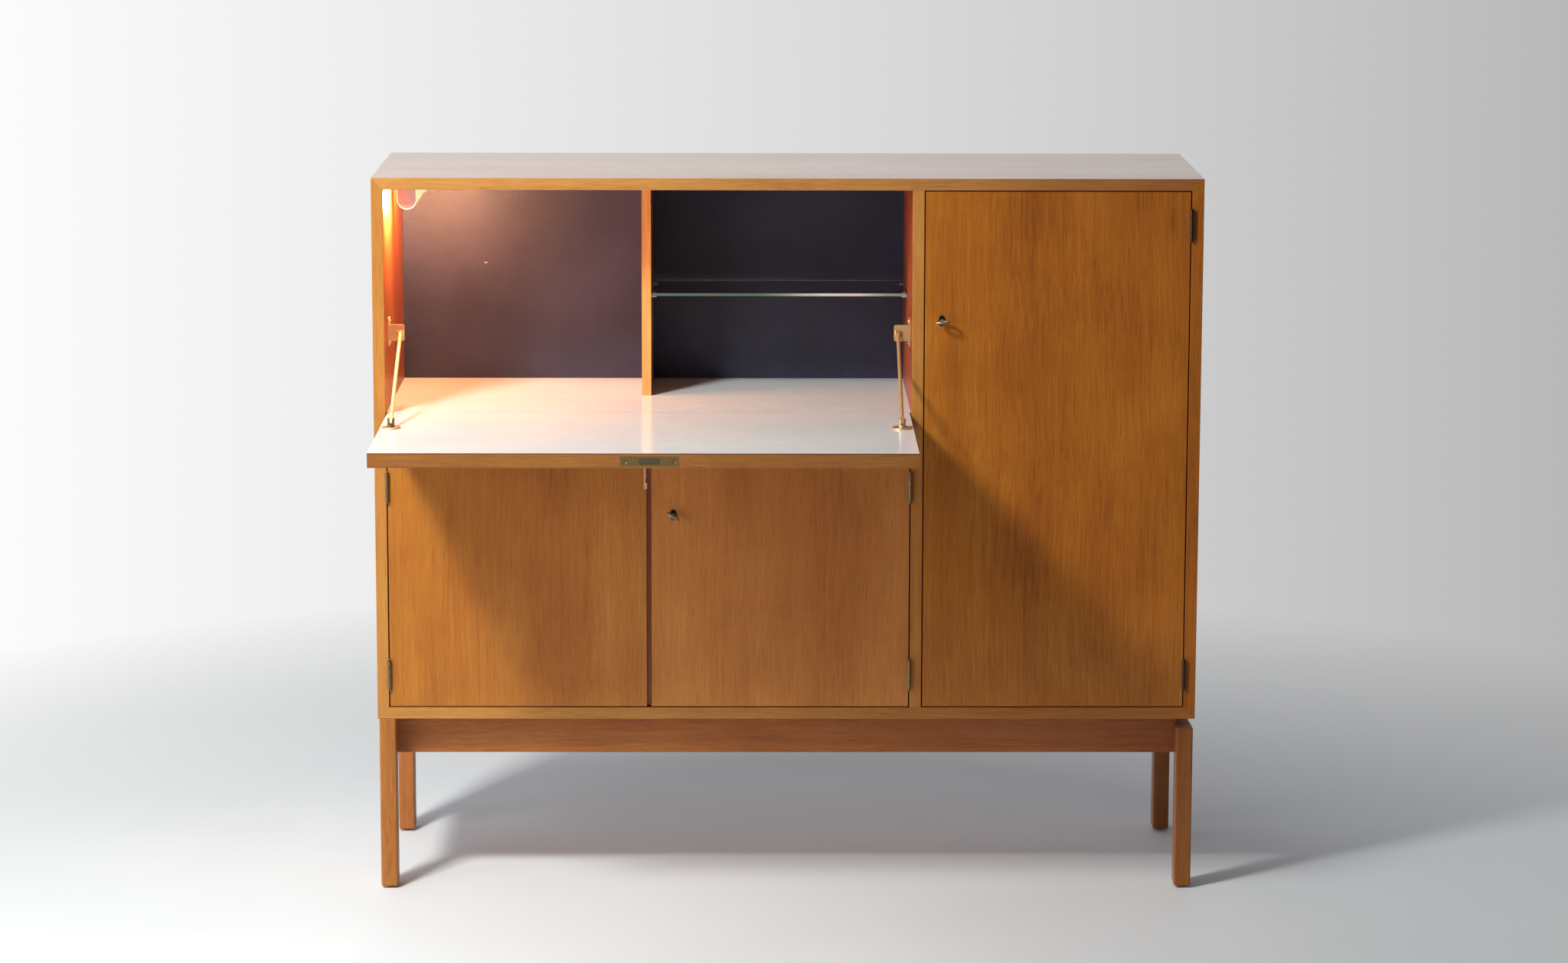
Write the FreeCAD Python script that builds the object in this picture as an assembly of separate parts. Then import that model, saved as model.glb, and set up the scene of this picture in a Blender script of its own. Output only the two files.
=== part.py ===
import FreeCAD, Part
import math
import os

# Highboard with a drop-front bar, two lower doors and one tall door, on a four-legged base.
# Millimetres, +Z up, the front looks towards -Y. The origin lies on the floor, under the
# middle of the box round the cabinet with its flap open.

# Carcass
width = 1400.0
depth = 420.0
base_height = 300.0
carcass_height = 930.0
panel_t = 20.0
edge_round = 0.8
bar_width = 890.0
bar_height = 382.0
back_t = 6.0
back_recess = 9.0
back_rebate = 8.0
lining_t = 3.0
lead_hole_r = 6.0

# Flap of the bar, turning on pins in its lower end
flap_t = 24.5
flap_front_round = 3.0
laminate_t = 1.2
cove_gap = 0.4
flap_shelf_gap = 2.0
pivot_r = 3.0
pivot_in_flap = 14.0
pivot_out = 6.0
pivot_plate_t = 2.0
pivot_plate_half_d = 8.0
pivot_plate_half_h = 9.0

# Fits
running_gap = 0.05
tight_gap = 0.02
slide_gap = 0.3

# Stays that hold the flap: the foot and the guide are equally far from the flap's pivot,
# so each rod turns by half the flap's angle and always runs through its guide
stay_reach = 154.0
stay_foot_height = 12.0
stay_guide_depth = 72.0
stay_from_panel = 21.0
stay_rod_r = 3.1
stay_eye_r = 4.8
stay_tongue_half = 2.2
stay_tongue_length = 10.6
stay_knob_r = 5.8
stay_knob_beyond = 8.0
stay_pin_r = 1.5
foot_flange_r = 16.0
foot_flange_t = 3.0
foot_post_r = 6.0
foot_post_above = 5.0
bracket_t = 2.0
bracket_width = 28.0
bracket_leaf = 26.0
bracket_half_h = 14.0
bracket_leaf_half_h = 24.0
bracket_corner_r = 3.0
bracket_screw_rise = 18.0
guide_half_h = 4.9
guide_boss_r = 6.6

# Doors
door_t = 20.0
door_gap = 2.0
meeting_gap = 8.0
meeting_lip_recess = 7.0
meeting_lip_t = 6.0
meeting_lip_gap = 1.2
hinge_from_end = 58.0
hinge_below_shelf = 78.0

# Lift-off hinges with turned knuckles in front of the doors
knuckle_r = 3.2
knuckle_h = 24.0
knuckle_gap = 0.4
knuckle_forward = 3.7
finial_r = 2.6
finial_rise = 2.0
leaf_t = 1.2
leaf_width = 17.0
leaf_set = 0.3
hinge_pin_r = 1.5
hinge_pin_half = 19.0
hinge_pin_end_gap = 0.3

# Door locks and their keys
right_key_backset = 37.5
tall_key_backset = 28.5
lock_case_depth = 48.0
lock_case_t = 13.0
lock_case_below = 22.0
lock_plate_t = 2.0
lock_plate_over = 8.0
lock_wall = 1.5
lock_case_margin = 8.0
lock_bolt_h = 12.0
lock_bolt_t = 7.0
lock_bolt_length = 39.5
lock_bolt_throw = 12.0
lock_bolt_back = 0.5
key_bit_clear = 1.0
tall_key_below_top = 221.0
right_key_below_shelf = 126.0
shank_r = 2.4
shank_clear = 0.6
key_bow_half_w = 13.0
key_bow_half_l = 10.0
key_bow_rim = 4.5
key_bow_t = 3.0
key_bow_round = 0.9
key_bow_stand_off = 8.0
key_collar_r = 3.8
key_collar_t = 2.5
key_bit_reach = 7.6
key_bit_t = 2.2
key_bit_width = 5.0
tall_key_turn = 0.0
right_key_turn = 33.0
escutcheon_half_w = 6.5
escutcheon_half_h = 10.5
escutcheon_t = 1.0
escutcheon_rim = 1.1
escutcheon_hollow = 0.5
keyhole_r = 4.0
keyhole_slot = 4.4
keyhole_drop = 8.5
strike_t = 1.5
strike_over = 9.0
strike_half_d = 7.0
bolt_end_gap = 3.0

# Lock in the flap's front edge
flap_lock_offset = 10.0
flap_lock_plate_half = 47.5
flap_lock_plate_h = 16.5
flap_lock_case_half = 30.0
flap_lock_case_depth = 40.0
flap_lock_case_t = 12.0
flap_bolt_half = 16.0
flap_bolt_t = 9.0
flap_bolt_length = 30.0
flap_bolt_throw = 9.0
flap_screw_from_end = 8.0
flap_screw_head_r = 3.6
flap_screw_ring = 0.6
flap_screw_turns = (50.0, -40.0)

# Flush bolt in the left door's meeting edge
flush_plate_t = 3.0
flush_plate_w = 6.5
flush_plate_h = 79.5
flush_recess = 1.6
flush_block_h = 10.5
flush_block_proud = 0.9
flush_guide_below_top = 24.0
flush_slider_w = 3.5
flush_slider_t = 1.1
flush_slider_h = 61.0
flush_slider_depth = 2.2
flush_throw = 12.0

# Inside of the bar
divider_t = 16.0
divider_setback = 205.0
glass_t = 5.5
glass_back_gap = 23.0
glass_above_floor = 174.5
glass_gap = 1.5
glass_pin_inset = 25.0
lamp_width = 34.0
lamp_drop = 38.0
lamp_from_side = 20.0
lamp_setback = 40.0
lamp_length = 150.0
lamp_sheet = 1.5
lamp_cap_gap = 0.2
lamp_tube_r = 6.0
lamp_socket_r = 8.0
lamp_socket_length = 14.0

# Loose shelves in the cupboards
shelf_t = 16.0
shelf_setback = 30.0
shelf_back_gap = 2.0
shelf_side_gap = 1.0
shelf_pin_r = 2.5
shelf_pin_out = 9.0
shelf_pin_seat = 9.0
shelf_pin_inset = 45.0
lower_shelf_share = 0.52
tall_shelf_count = 2

# Base
leg_width = 28.0
leg_depth = 44.0
leg_inset = 2.5
leg_round = 2.5
right_frame_drop = 16.0
rail_t = 22.0
rail_inset = 2.0
rail_height = 70.0
apron_t = 20.0
apron_leg_gap = 2.0
glide_r = 9.0
glide_h = 4.0
block_size = 42.0
block_chamfer = 16.0
block_height = 40.0

# Screws
base_screw_r = 2.2
base_screw_head_r = 4.5
base_screw_head_h = 3.0
base_screw_bite = 14.0
small_screw_r = 1.6
small_head_r = 3.1
small_head_h = 1.4
small_screw_bite = 12.0
screw_slot_w = 0.8
screw_slot_depth = 0.7

# Levels and planes that follow from the sizes above
top_z = base_height + carcass_height
inner_top = top_z - panel_t
inner_bottom = base_height + panel_t
floor_z = inner_top - bar_height
axis_z = floor_z - flap_t / 2
flap_reach = inner_top - door_gap - axis_z
shelf_top = axis_z - flap_t / 2 - flap_shelf_gap
shelf_under = shelf_top - panel_t
front = (flap_reach - flap_t / 2 - depth) / 2
rear = front + depth
back_face = rear - back_recess - back_t
lining_face = back_face - lining_t
axis_y = front + flap_t / 2
flap_front = axis_y - flap_reach
left_in = -width / 2 + panel_t
right_in = width / 2 - panel_t
partition_left = left_in + bar_width
partition_right = partition_left + panel_t
flap_left = left_in + door_gap
flap_right = partition_left - door_gap
meeting_x = (left_in + partition_left) / 2
hinge_y = front - knuckle_forward
doors_top = shelf_under - door_gap
doors_bottom = inner_bottom + door_gap
tall_top = inner_top - door_gap
right_key_z = shelf_under - right_key_below_shelf
tall_key_z = inner_top - tall_key_below_top
right_key_x = meeting_x + meeting_gap / 2 + right_key_backset
tall_key_x = partition_right + door_gap + tall_key_backset
divider_front = front + divider_setback
glass_under = floor_z + glass_above_floor
glass_depth = lining_face - glass_back_gap - divider_front
flap_lock_x = (flap_left + flap_right) / 2 + flap_lock_offset
flap_lock_z = axis_z - laminate_t / 2
guide_y = front + stay_guide_depth
guide_z = axis_z + math.sqrt(stay_reach ** 2 - (guide_y - axis_y) ** 2)
stay_foot_z = floor_z + stay_foot_height
stay_foot_y = axis_y - math.sqrt(stay_reach ** 2 - (stay_foot_z - axis_z) ** 2)
stay_span = math.hypot(guide_y - stay_foot_y, guide_z - stay_foot_z)
stay_slope = math.atan2(guide_z - stay_foot_z, guide_y - stay_foot_y)
key_chamber_r = key_bit_reach + key_bit_clear
lock_bolt_low = key_chamber_r + lock_wall
lock_case_above = lock_bolt_low + lock_bolt_h + lock_case_margin
bolt_past_edge = lock_bolt_throw - lock_bolt_back
tall_socket_depth = bolt_past_edge - door_gap + bolt_end_gap
left_socket_depth = bolt_past_edge - meeting_gap + bolt_end_gap
flap_socket_depth = flap_bolt_throw - slide_gap - door_gap + bolt_end_gap
flush_socket_depth = flush_throw - slide_gap - door_gap + bolt_end_gap
apron_setback = leg_depth + apron_leg_gap
rail_bottom = base_height - rail_height
right_frame_top = base_height - right_frame_drop
leg_outer = width / 2 - leg_inset
rail_outer = leg_outer - rail_inset
rail_inner = rail_outer - rail_t

X = FreeCAD.Vector(1, 0, 0)
Y = FreeCAD.Vector(0, 1, 0)
Z = FreeCAD.Vector(0, 0, 1)
TINY = 1e-6

# Hinge side, free edge, height and hinge places of each door
DOORS = {
    "left_door": {
        "hinge_x": left_in + door_gap / 2,
        "free_x": meeting_x - meeting_gap / 2,
        "top": doors_top,
        "hinges": (inner_bottom + hinge_from_end, shelf_under - hinge_below_shelf),
    },
    "right_door": {
        "hinge_x": partition_left - door_gap / 2,
        "free_x": meeting_x + meeting_gap / 2,
        "top": doors_top,
        "hinges": (inner_bottom + hinge_from_end, shelf_under - hinge_below_shelf),
    },
    "tall_door": {
        "hinge_x": right_in - door_gap / 2,
        "free_x": partition_right + door_gap,
        "top": tall_top,
        "hinges": (inner_bottom + hinge_from_end, inner_top - hinge_from_end),
    },
}

# The two stays: the face that carries the guide, and the side of it that is open
STAYS = {
    "left": (left_in, 1),
    "right": (partition_left, -1),
}


def vec(x, y, z):
    return FreeCAD.Vector(x, y, z)


def around(middle, half):
    """Both ends of a stretch about its middle."""
    return (middle - half, middle + half)


def box(x, y, z):
    """Box between pairs of coordinates, each pair in any order."""
    low = [min(pair) for pair in (x, y, z)]
    high = [max(pair) for pair in (x, y, z)]
    size = [b - a for a, b in zip(low, high)]
    return Part.makeBox(*size, vec(*low))


def cylinder(r, start, along, length):
    return Part.makeCylinder(r, length, start, along)


def join(*shapes):
    return shapes[0].multiFuse(list(shapes[1:])).removeSplitter()


def round_edges(shape, r, wanted):
    return shape.makeFillet(r, [edge for edge in shape.Edges if wanted(edge)])


def is_long_front_edge(edge):
    at_front = all(abs(point.Y - front) < TINY for point in edge.Vertexes)
    return at_front and edge.Length > 2 * panel_t


def prism(points, along):
    """Straight solid on a closed outline of points."""
    outline = Part.makePolygon(points + points[:1])
    return Part.Face(outline).extrude(along)


# Doors and their hinges

def into_door(door):
    """Sign of the way from a door's hinge to its free edge, along X."""
    return math.copysign(1, door["free_x"] - door["hinge_x"])


def hinge_leaf_x(hinge_x, side):
    near = hinge_x + side * door_gap / 2
    return (near, near + side * leaf_t)


def hinge_pockets(door, side):
    """Mortises for the leaves of a door's hinges, in the door or in the frame."""
    leaf_x = hinge_leaf_x(door["hinge_x"], side)
    return [
        box(leaf_x, (front - edge_round, front + leaf_width), around(middle, knuckle_h))
        for middle in door["hinges"]
    ]


def hinge_half(hinge_x, middle, side, up, bore_gap):
    """One half of a hinge: a let-in leaf, and a knuckle over half the height with its finial."""
    leaf_x = hinge_leaf_x(hinge_x, side)
    half = (middle + up * knuckle_gap / 2, middle + up * knuckle_h)
    leaf = box(leaf_x, (front + leaf_set, front + leaf_width), around(middle, knuckle_h))
    neck = box(leaf_x, (hinge_y, front + leaf_set), half)
    knuckle = cylinder(knuckle_r, vec(hinge_x, hinge_y, min(half)), Z, abs(half[1] - half[0]))
    finial = Part.makeSphere(finial_r, vec(hinge_x, hinge_y, middle + up * (knuckle_h + finial_rise)))
    bore_length = hinge_pin_half + hinge_pin_end_gap
    bore = cylinder(hinge_pin_r + bore_gap, vec(hinge_x, hinge_y, middle), Z * up, bore_length)
    return join(leaf, neck, knuckle, finial).cut(bore)


def hinge_door_halves(door):
    side = into_door(door)
    return [hinge_half(door["hinge_x"], middle, side, 1, running_gap) for middle in door["hinges"]]


def hinge_frame_leaves():
    return [
        hinge_half(door["hinge_x"], middle, -into_door(door), -1, tight_gap)
        for door in DOORS.values()
        for middle in door["hinges"]
    ]


def hinge_pins():
    return [
        cylinder(hinge_pin_r, vec(door["hinge_x"], hinge_y, middle - hinge_pin_half), Z, 2 * hinge_pin_half)
        for door in DOORS.values()
        for middle in door["hinges"]
    ]


def door_blank(door):
    side = into_door(door)
    hinge_edge = door["hinge_x"] + side * door_gap / 2
    blank = box((hinge_edge, door["free_x"]), (front, front + door_t), (doors_bottom, door["top"]))
    blank = round_edges(blank, edge_round, lambda edge: True)
    return blank.cut(hinge_pockets(door, side))


# Locks of the right door and the tall door, with the bolt towards -X

case_front = front + door_t - lock_case_t
bolt_y = around(front + door_t - lock_case_t / 2, lock_bolt_t / 2)


def lock_outline(edge_x, key_z):
    """Case let into the door from behind, and the plate on the door's edge."""
    height = (key_z - lock_case_below, key_z + lock_case_above)
    plate_height = (height[0] - lock_plate_over, height[1] + lock_plate_over)
    case = box((edge_x, edge_x + lock_case_depth), (case_front, front + door_t), height)
    plate = box((edge_x, edge_x + lock_plate_t), (case_front, front + door_t), plate_height)
    return join(case, plate)


def bolt_height(key_z):
    return (key_z + lock_bolt_low, key_z + lock_bolt_low + lock_bolt_h)


def grown(pair, gap):
    return (pair[0] - gap, pair[1] + gap)


def door_lock(edge_x, key_x, key_z):
    channel_x = (edge_x, edge_x + lock_bolt_back + lock_bolt_length + slide_gap)
    channel = box(channel_x, grown(bolt_y, slide_gap), grown(bolt_height(key_z), slide_gap))
    chamber_y = (case_front + lock_wall, front + door_t - lock_wall)
    chamber = cylinder(key_chamber_r, vec(key_x, chamber_y[0], key_z), Y, chamber_y[1] - chamber_y[0])
    mouth = cylinder(shank_r + shank_clear, vec(key_x, case_front, key_z), Y, lock_case_t / 2)
    return lock_outline(edge_x, key_z).cut([channel, chamber, mouth])


def door_lock_bolt(edge_x, key_z):
    bolt_x = (edge_x + lock_bolt_back, edge_x + lock_bolt_back + lock_bolt_length)
    return box(bolt_x, bolt_y, bolt_height(key_z))


def keyhole(x, z, y):
    """Round hole with a slot below it, between two depths."""
    hole = cylinder(keyhole_r, vec(x, y[0], z), Y, y[1] - y[0])
    slot = box(around(x, keyhole_slot / 2), y, (z - keyhole_drop, z))
    return join(hole, slot)


def oval(x, z, y, inset=0.0):
    """Oval disc of the escutcheon's outline, or inside it, between two depths."""
    curve = Part.Ellipse(vec(0, 0, 0), escutcheon_half_h - inset, escutcheon_half_w - inset)
    disc = Part.Face(Part.Wire(curve.toShape())).extrude(vec(0, 0, y[1] - y[0]))
    disc.Placement = FreeCAD.Placement(vec(x, y[0], z), FreeCAD.Rotation(Z, X, Y, "XYZ"))
    return disc


def escutcheon(key_x, key_z):
    """Oval inlay, hollowed inside its rim, with the keyhole through it."""
    inlay_y = (front, front + escutcheon_t)
    hollow = oval(key_x, key_z, (front, front + escutcheon_hollow), escutcheon_rim)
    return oval(key_x, key_z, inlay_y).cut([hollow, keyhole(key_x, key_z, inlay_y)])


def lock_cutters(edge_x, key_x, key_z):
    """What a lock takes out of its door: case, plate, keyhole and escutcheon."""
    inlay = oval(key_x, key_z, (front - edge_round, front + escutcheon_t))
    return [lock_outline(edge_x, key_z), keyhole(key_x, key_z, (front, case_front)), inlay]


def key(key_x, key_z, turn):
    """Key with a pierced oval bow, a collar and a bit, standing in its lock."""
    bow_middle = -key_bow_stand_off - key_bow_half_l
    rim = Part.Ellipse(vec(0, 0, 0), key_bow_half_w, key_bow_half_l)
    eye = Part.Ellipse(vec(0, 0, 0), key_bow_half_w - key_bow_rim, key_bow_half_l - key_bow_rim)
    face = Part.Face(Part.Wire(rim.toShape())).cut(Part.Face(Part.Wire(eye.toShape())))
    bow = face.extrude(vec(0, 0, key_bow_t))
    bow = bow.makeFillet(key_bow_round, [edge for edge in bow.Edges if edge.Length > key_bow_t + TINY])
    bow.translate(vec(0, bow_middle, -key_bow_t / 2))
    shank_start = -key_bow_stand_off - key_bow_rim / 2
    shank_end = door_t - 2 * lock_wall
    shank = cylinder(shank_r, vec(0, shank_start, 0), Y, shank_end - shank_start)
    collar = cylinder(key_collar_r, vec(0, -key_bow_stand_off, 0), Y, key_collar_t)
    bit_y = (shank_end - key_bit_width, shank_end)
    bit = box(around(0, key_bit_t / 2), bit_y, (-key_bit_reach, 0))
    whole = join(bow, shank, collar, bit)
    whole.rotate(vec(0, 0, 0), Y, turn)
    whole.translate(vec(key_x, front, key_z))
    return whole


# Left door and its flush bolt

def flush_bed(x, z):
    """Stretch of the strip along the door's edge that the flush bolt takes up."""
    return box(x, (front, front + flush_plate_w), z)


def flush_height():
    return (doors_top - flush_plate_h, doors_top)


def flush_slider_box(gap, z):
    """The flush bolt's slider, or with a gap the room that it runs in."""
    start_x = DOORS["left_door"]["free_x"] - flush_recess + slide_gap
    start_y = front + flush_slider_depth
    slider_x = grown((start_x, start_x + flush_slider_t), gap)
    return box(slider_x, grown((start_y, start_y + flush_slider_w), gap), z)


def flush_bolt_plate():
    """Plate sunk in the door's edge, with a block at its foot and a guide for the slider."""
    edge_x = DOORS["left_door"]["free_x"]
    plate_x = (edge_x - flush_recess - flush_plate_t, edge_x - flush_recess)
    block_x = (plate_x[0], edge_x + flush_block_proud)
    foot, top = flush_height()
    guide_foot = top - flush_guide_below_top
    block = flush_bed(block_x, (foot, foot + flush_block_h))
    guide = flush_bed(block_x, (guide_foot, guide_foot + flush_block_h))
    room = flush_slider_box(slide_gap, (foot + flush_block_h, top))
    return join(flush_bed(plate_x, (foot, top)), block, guide).cut(room)


def flush_bolt_slider():
    top = doors_top - slide_gap
    return flush_slider_box(0, (top - flush_slider_h, top))


def meeting_lip():
    """Lip along the left door's edge that closes the gap between the two doors from behind."""
    edge_x = DOORS["left_door"]["free_x"]
    lip_x = (edge_x, edge_x + meeting_gap - meeting_lip_gap)
    lip_y = (front + meeting_lip_recess, front + meeting_lip_recess + meeting_lip_t)
    return box(lip_x, lip_y, (doors_bottom + edge_round, doors_top - edge_round))


def left_door_panel():
    edge_x = DOORS["left_door"]["free_x"]
    socket_x = (edge_x - left_socket_depth, edge_x + meeting_gap)
    socket = box(socket_x, grown(bolt_y, slide_gap), grown(bolt_height(right_key_z), slide_gap))
    let_in = flush_bed((edge_x - flush_recess - flush_plate_t, edge_x), flush_height())
    return join(door_blank(DOORS["left_door"]), meeting_lip()).cut([socket, let_in])


# Flap of the bar

def flap_body():
    """Whole flap with laminate: square above the pivot at its hinge end, rounded below it."""
    half = flap_t / 2
    lower_front = vec(flap_left, flap_front, axis_z - half)
    lower_end = vec(flap_left, axis_y, axis_z - half)
    round_middle = vec(flap_left, axis_y + half * math.sqrt(0.5), axis_z - half * math.sqrt(0.5))
    level_end = vec(flap_left, axis_y + half, axis_z)
    upper_end = vec(flap_left, axis_y + half, axis_z + half)
    upper_front = vec(flap_left, flap_front, axis_z + half)
    outline = [
        Part.makeLine(lower_front, lower_end),
        Part.Arc(lower_end, round_middle, level_end).toShape(),
        Part.makeLine(level_end, upper_end),
        Part.makeLine(upper_end, upper_front),
        Part.makeLine(upper_front, lower_front),
    ]
    body = Part.Face(Part.Wire(outline)).extrude(vec(flap_right - flap_left, 0, 0))

    def is_lower_front(edge):
        ends = edge.Vertexes
        return all(abs(p.Y - flap_front) < TINY and abs(p.Z - lower_front.z) < TINY for p in ends)

    return round_edges(body, flap_front_round, is_lower_front)


def laminate_layer(body, x, y):
    """The part of a board that lies within the laminate's thickness below the bar floor's level."""
    layer = box(x, y, (floor_z - laminate_t, floor_z))
    return body.common(layer), body.cut(layer)


def flap_layers():
    return laminate_layer(flap_body(), (flap_left, flap_right), (flap_front, axis_y + flap_t / 2))


def flap_lock_outline():
    plate_z = around(flap_lock_z, flap_lock_plate_h / 2)
    case_z = around(flap_lock_z, flap_lock_case_t / 2)
    plate_y = (flap_front, flap_front + lock_plate_t)
    plate = box(around(flap_lock_x, flap_lock_plate_half), plate_y, plate_z)
    case_y = (flap_front, flap_front + flap_lock_case_depth)
    case = box(around(flap_lock_x, flap_lock_case_half), case_y, case_z)
    return join(plate, case)


def flap_bolt_box(gap):
    bolt_x = around(flap_lock_x, flap_bolt_half + gap)
    bolt_z = around(flap_lock_z, flap_bolt_t / 2 + gap)
    start = flap_front + (slide_gap if gap == 0 else 0)
    return box(bolt_x, (start, flap_front + flap_bolt_length + gap), bolt_z)


def flap_lock():
    return flap_lock_outline().cut([flap_bolt_box(slide_gap)] + flap_lock_screws(tight_gap))


def flap_lock_bolt():
    return flap_bolt_box(0)


def flap_lock_screws(gap=0.0):
    """Two countersunk screws through the flap lock's plate; with a gap, their holes."""
    reach = flap_lock_plate_half - flap_screw_from_end
    screws = []
    head_r = flap_screw_head_r + (flap_screw_ring if gap else 0)
    for x, turn in zip(around(flap_lock_x, reach), flap_screw_turns):
        start = vec(x, flap_front, flap_lock_z)
        head = Part.makeCone(head_r, small_screw_r + gap, lock_plate_t, start, Y)
        shank = cylinder(small_screw_r + gap, start, Y, lock_plate_t + small_screw_bite)
        slot_y = (flap_front, flap_front + screw_slot_depth)
        slot = box(around(x, head_r), slot_y, around(flap_lock_z, screw_slot_w / 2))
        slot.rotate(start, Y, turn)
        screw = join(head, shank)
        screws.append(screw if gap else screw.cut(slot))
    return screws


def pivot_ends():
    """End face of the flap, the way out of it along X, and the board that holds the pivot."""
    return [(flap_left, -X, left_in), (flap_right, X, partition_left)]


def flap_pivot_pins(gap=0.0):
    pins = []
    for end, out, face in pivot_ends():
        start = vec(end, axis_y, axis_z) - out * pivot_in_flap
        pins.append(cylinder(pivot_r + gap, start, out, pivot_in_flap + pivot_out))
    return pins


def pivot_plate_box(out, face):
    plate_x = (face, face + out.x * pivot_plate_t)
    return box(plate_x, around(axis_y, pivot_plate_half_d), around(axis_z, pivot_plate_half_h))


def flap_pivot_plates():
    bores = flap_pivot_pins(running_gap)
    return [pivot_plate_box(out, face).cut(bores) for end, out, face in pivot_ends()]


def pivot_pockets(index):
    """Recess for a pivot plate, and room for the pin's end behind it."""
    end, out, face = pivot_ends()[index]
    start = vec(face, axis_y, axis_z)
    return [pivot_plate_box(out, face), cylinder(pivot_r + slide_gap, start, out, pivot_out + slide_gap)]


def flap_panel():
    core = flap_layers()[1]
    return core.cut([flap_lock_outline()] + flap_lock_screws(tight_gap) + flap_pivot_pins(tight_gap))


# Stays of the flap

def stay_x(name):
    face, open_side = STAYS[name]
    return face + open_side * stay_from_panel


def stay_foot(name):
    """Flange and slotted post on the flap, with the cross pin that the rod turns on."""
    x = stay_x(name)
    base = vec(x, stay_foot_y, floor_z)
    flange = cylinder(foot_flange_r, base, Z, foot_flange_t)
    flange = round_edges(flange, foot_flange_t / 2, lambda edge: edge.Vertexes[0].Z > floor_z + TINY)
    post = cylinder(foot_post_r, base, Z, stay_foot_height + foot_post_above)
    slot_floor = stay_foot_z - stay_eye_r - slide_gap
    slot_top = stay_foot_z + foot_post_above
    slot_y = around(stay_foot_y, foot_post_r)
    slot = box(around(x, stay_tongue_half + slide_gap), slot_y, (slot_floor, slot_top))
    pin_start = vec(x - foot_post_r + stay_pin_r, stay_foot_y, stay_foot_z)
    pin = cylinder(stay_pin_r, pin_start, X, 2 * (foot_post_r - stay_pin_r))
    return join(join(flange, post).cut(slot), pin)


def stay_rod(name):
    """Rod with an eye at its foot and a stop knob beyond its guide."""
    eye_start = vec(-stay_tongue_half, 0, 0)
    eye = cylinder(stay_eye_r, eye_start, X, 2 * stay_tongue_half)
    tongue = box(around(0, stay_tongue_half), (0, stay_tongue_length), around(0, stay_rod_r))
    bar_start = stay_tongue_length - stay_rod_r / 2
    bar = cylinder(stay_rod_r, vec(0, bar_start, 0), Y, stay_span + stay_knob_beyond - bar_start)
    knob = Part.makeSphere(stay_knob_r, vec(0, stay_span + stay_knob_beyond, 0))
    bore = cylinder(stay_pin_r + running_gap, eye_start, X, 2 * stay_tongue_half)
    rod = join(eye, tongue, bar, knob).cut(bore)
    rod.rotate(vec(0, 0, 0), X, math.degrees(stay_slope))
    rod.translate(vec(stay_x(name), stay_foot_y, stay_foot_z))
    return rod


def bracket_screw_places(name):
    """Screw points on the face that carries a guide."""
    face = STAYS[name][0]
    middle_y = guide_y + bracket_leaf / 2
    return [vec(face, middle_y, z) for z in around(guide_z, bracket_screw_rise)]


def bracket_screws_of(name, gap=0.0):
    open_side = STAYS[name][1]
    screws = []
    for point in bracket_screw_places(name):
        seat = point + X * open_side * bracket_t
        head = cylinder(small_head_r, seat, X * open_side, small_head_h)
        head = round_edges(head, small_head_h / 2, lambda edge: abs(edge.Vertexes[0].X - seat.x) > TINY)
        shank = cylinder(small_screw_r + gap, seat, X * -open_side, bracket_t + small_screw_bite)
        crown = seat.x + open_side * small_head_h
        slot_x = (crown - open_side * screw_slot_depth, crown)
        slot = box(slot_x, around(seat.y, small_head_r), around(seat.z, screw_slot_w / 2))
        screws.append(shank if gap else join(head, shank).cut(slot))
    return screws


def stay_bracket(name):
    """Angle plate: a tall leaf on the board, and a plate with a guide slot between round cheeks."""
    face, open_side = STAYS[name]
    x = stay_x(name)
    thick = around(guide_y, bracket_t / 2)
    free_end = face + open_side * bracket_width
    plate = box((face, free_end), thick, around(guide_z, bracket_half_h))

    def is_free_corner(edge):
        ends = edge.Vertexes
        return all(abs(p.X - free_end) < TINY for p in ends) and abs(ends[0].Z - ends[1].Z) < TINY

    plate = round_edges(plate, bracket_corner_r, is_free_corner)
    leaf_y = (thick[0], thick[0] + bracket_leaf)
    leaf = box((face, face + open_side * bracket_t), leaf_y, around(guide_z, bracket_leaf_half_h))
    slot_r = stay_rod_r + slide_gap
    straight = guide_half_h - slot_r
    ends = [cylinder(slot_r, vec(x, thick[0], z), Y, bracket_t) for z in around(guide_z, straight)]
    middle = box(around(x, slot_r), thick, around(guide_z, straight))
    boss_z = around(guide_z, guide_boss_r)
    behind = box(around(x, guide_boss_r), (guide_y, guide_y + guide_boss_r), boss_z)
    run = box(around(x, slot_r), around(guide_y, guide_boss_r), boss_z)
    cheeks = Part.makeSphere(guide_boss_r, vec(x, guide_y, guide_z)).cut([behind, run])
    return join(plate, leaf, cheeks).cut(ends + [middle] + bracket_screws_of(name, tight_gap))


# Shelves, divider and lamp inside

def glass_x():
    return (meeting_x + glass_gap, partition_left - glass_gap)


def glass_shelf():
    glass_y = (divider_front, divider_front + glass_depth)
    glass = box(glass_x(), glass_y, (glass_under, glass_under + glass_t))
    return round_edges(glass, edge_round, lambda edge: True)


def pins_under(x0, x1, ends, level, gap):
    """Four pins, two in each of two facing boards, under a shelf at this level."""
    pins = []
    for face, out in ((x0, X), (x1, -X)):
        for y in ends:
            start = vec(face, y, level - shelf_pin_r) - out * shelf_pin_seat
            pins.append(cylinder(shelf_pin_r + gap, start, out, shelf_pin_seat + shelf_pin_out))
    return pins


def glass_pins(gap=0.0):
    ends = (divider_front + glass_pin_inset, divider_front + glass_depth - glass_pin_inset)
    return pins_under(meeting_x, partition_left, ends, glass_under, gap)


def lower_shelf_z():
    return inner_bottom + lower_shelf_share * (shelf_under - inner_bottom)


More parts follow.
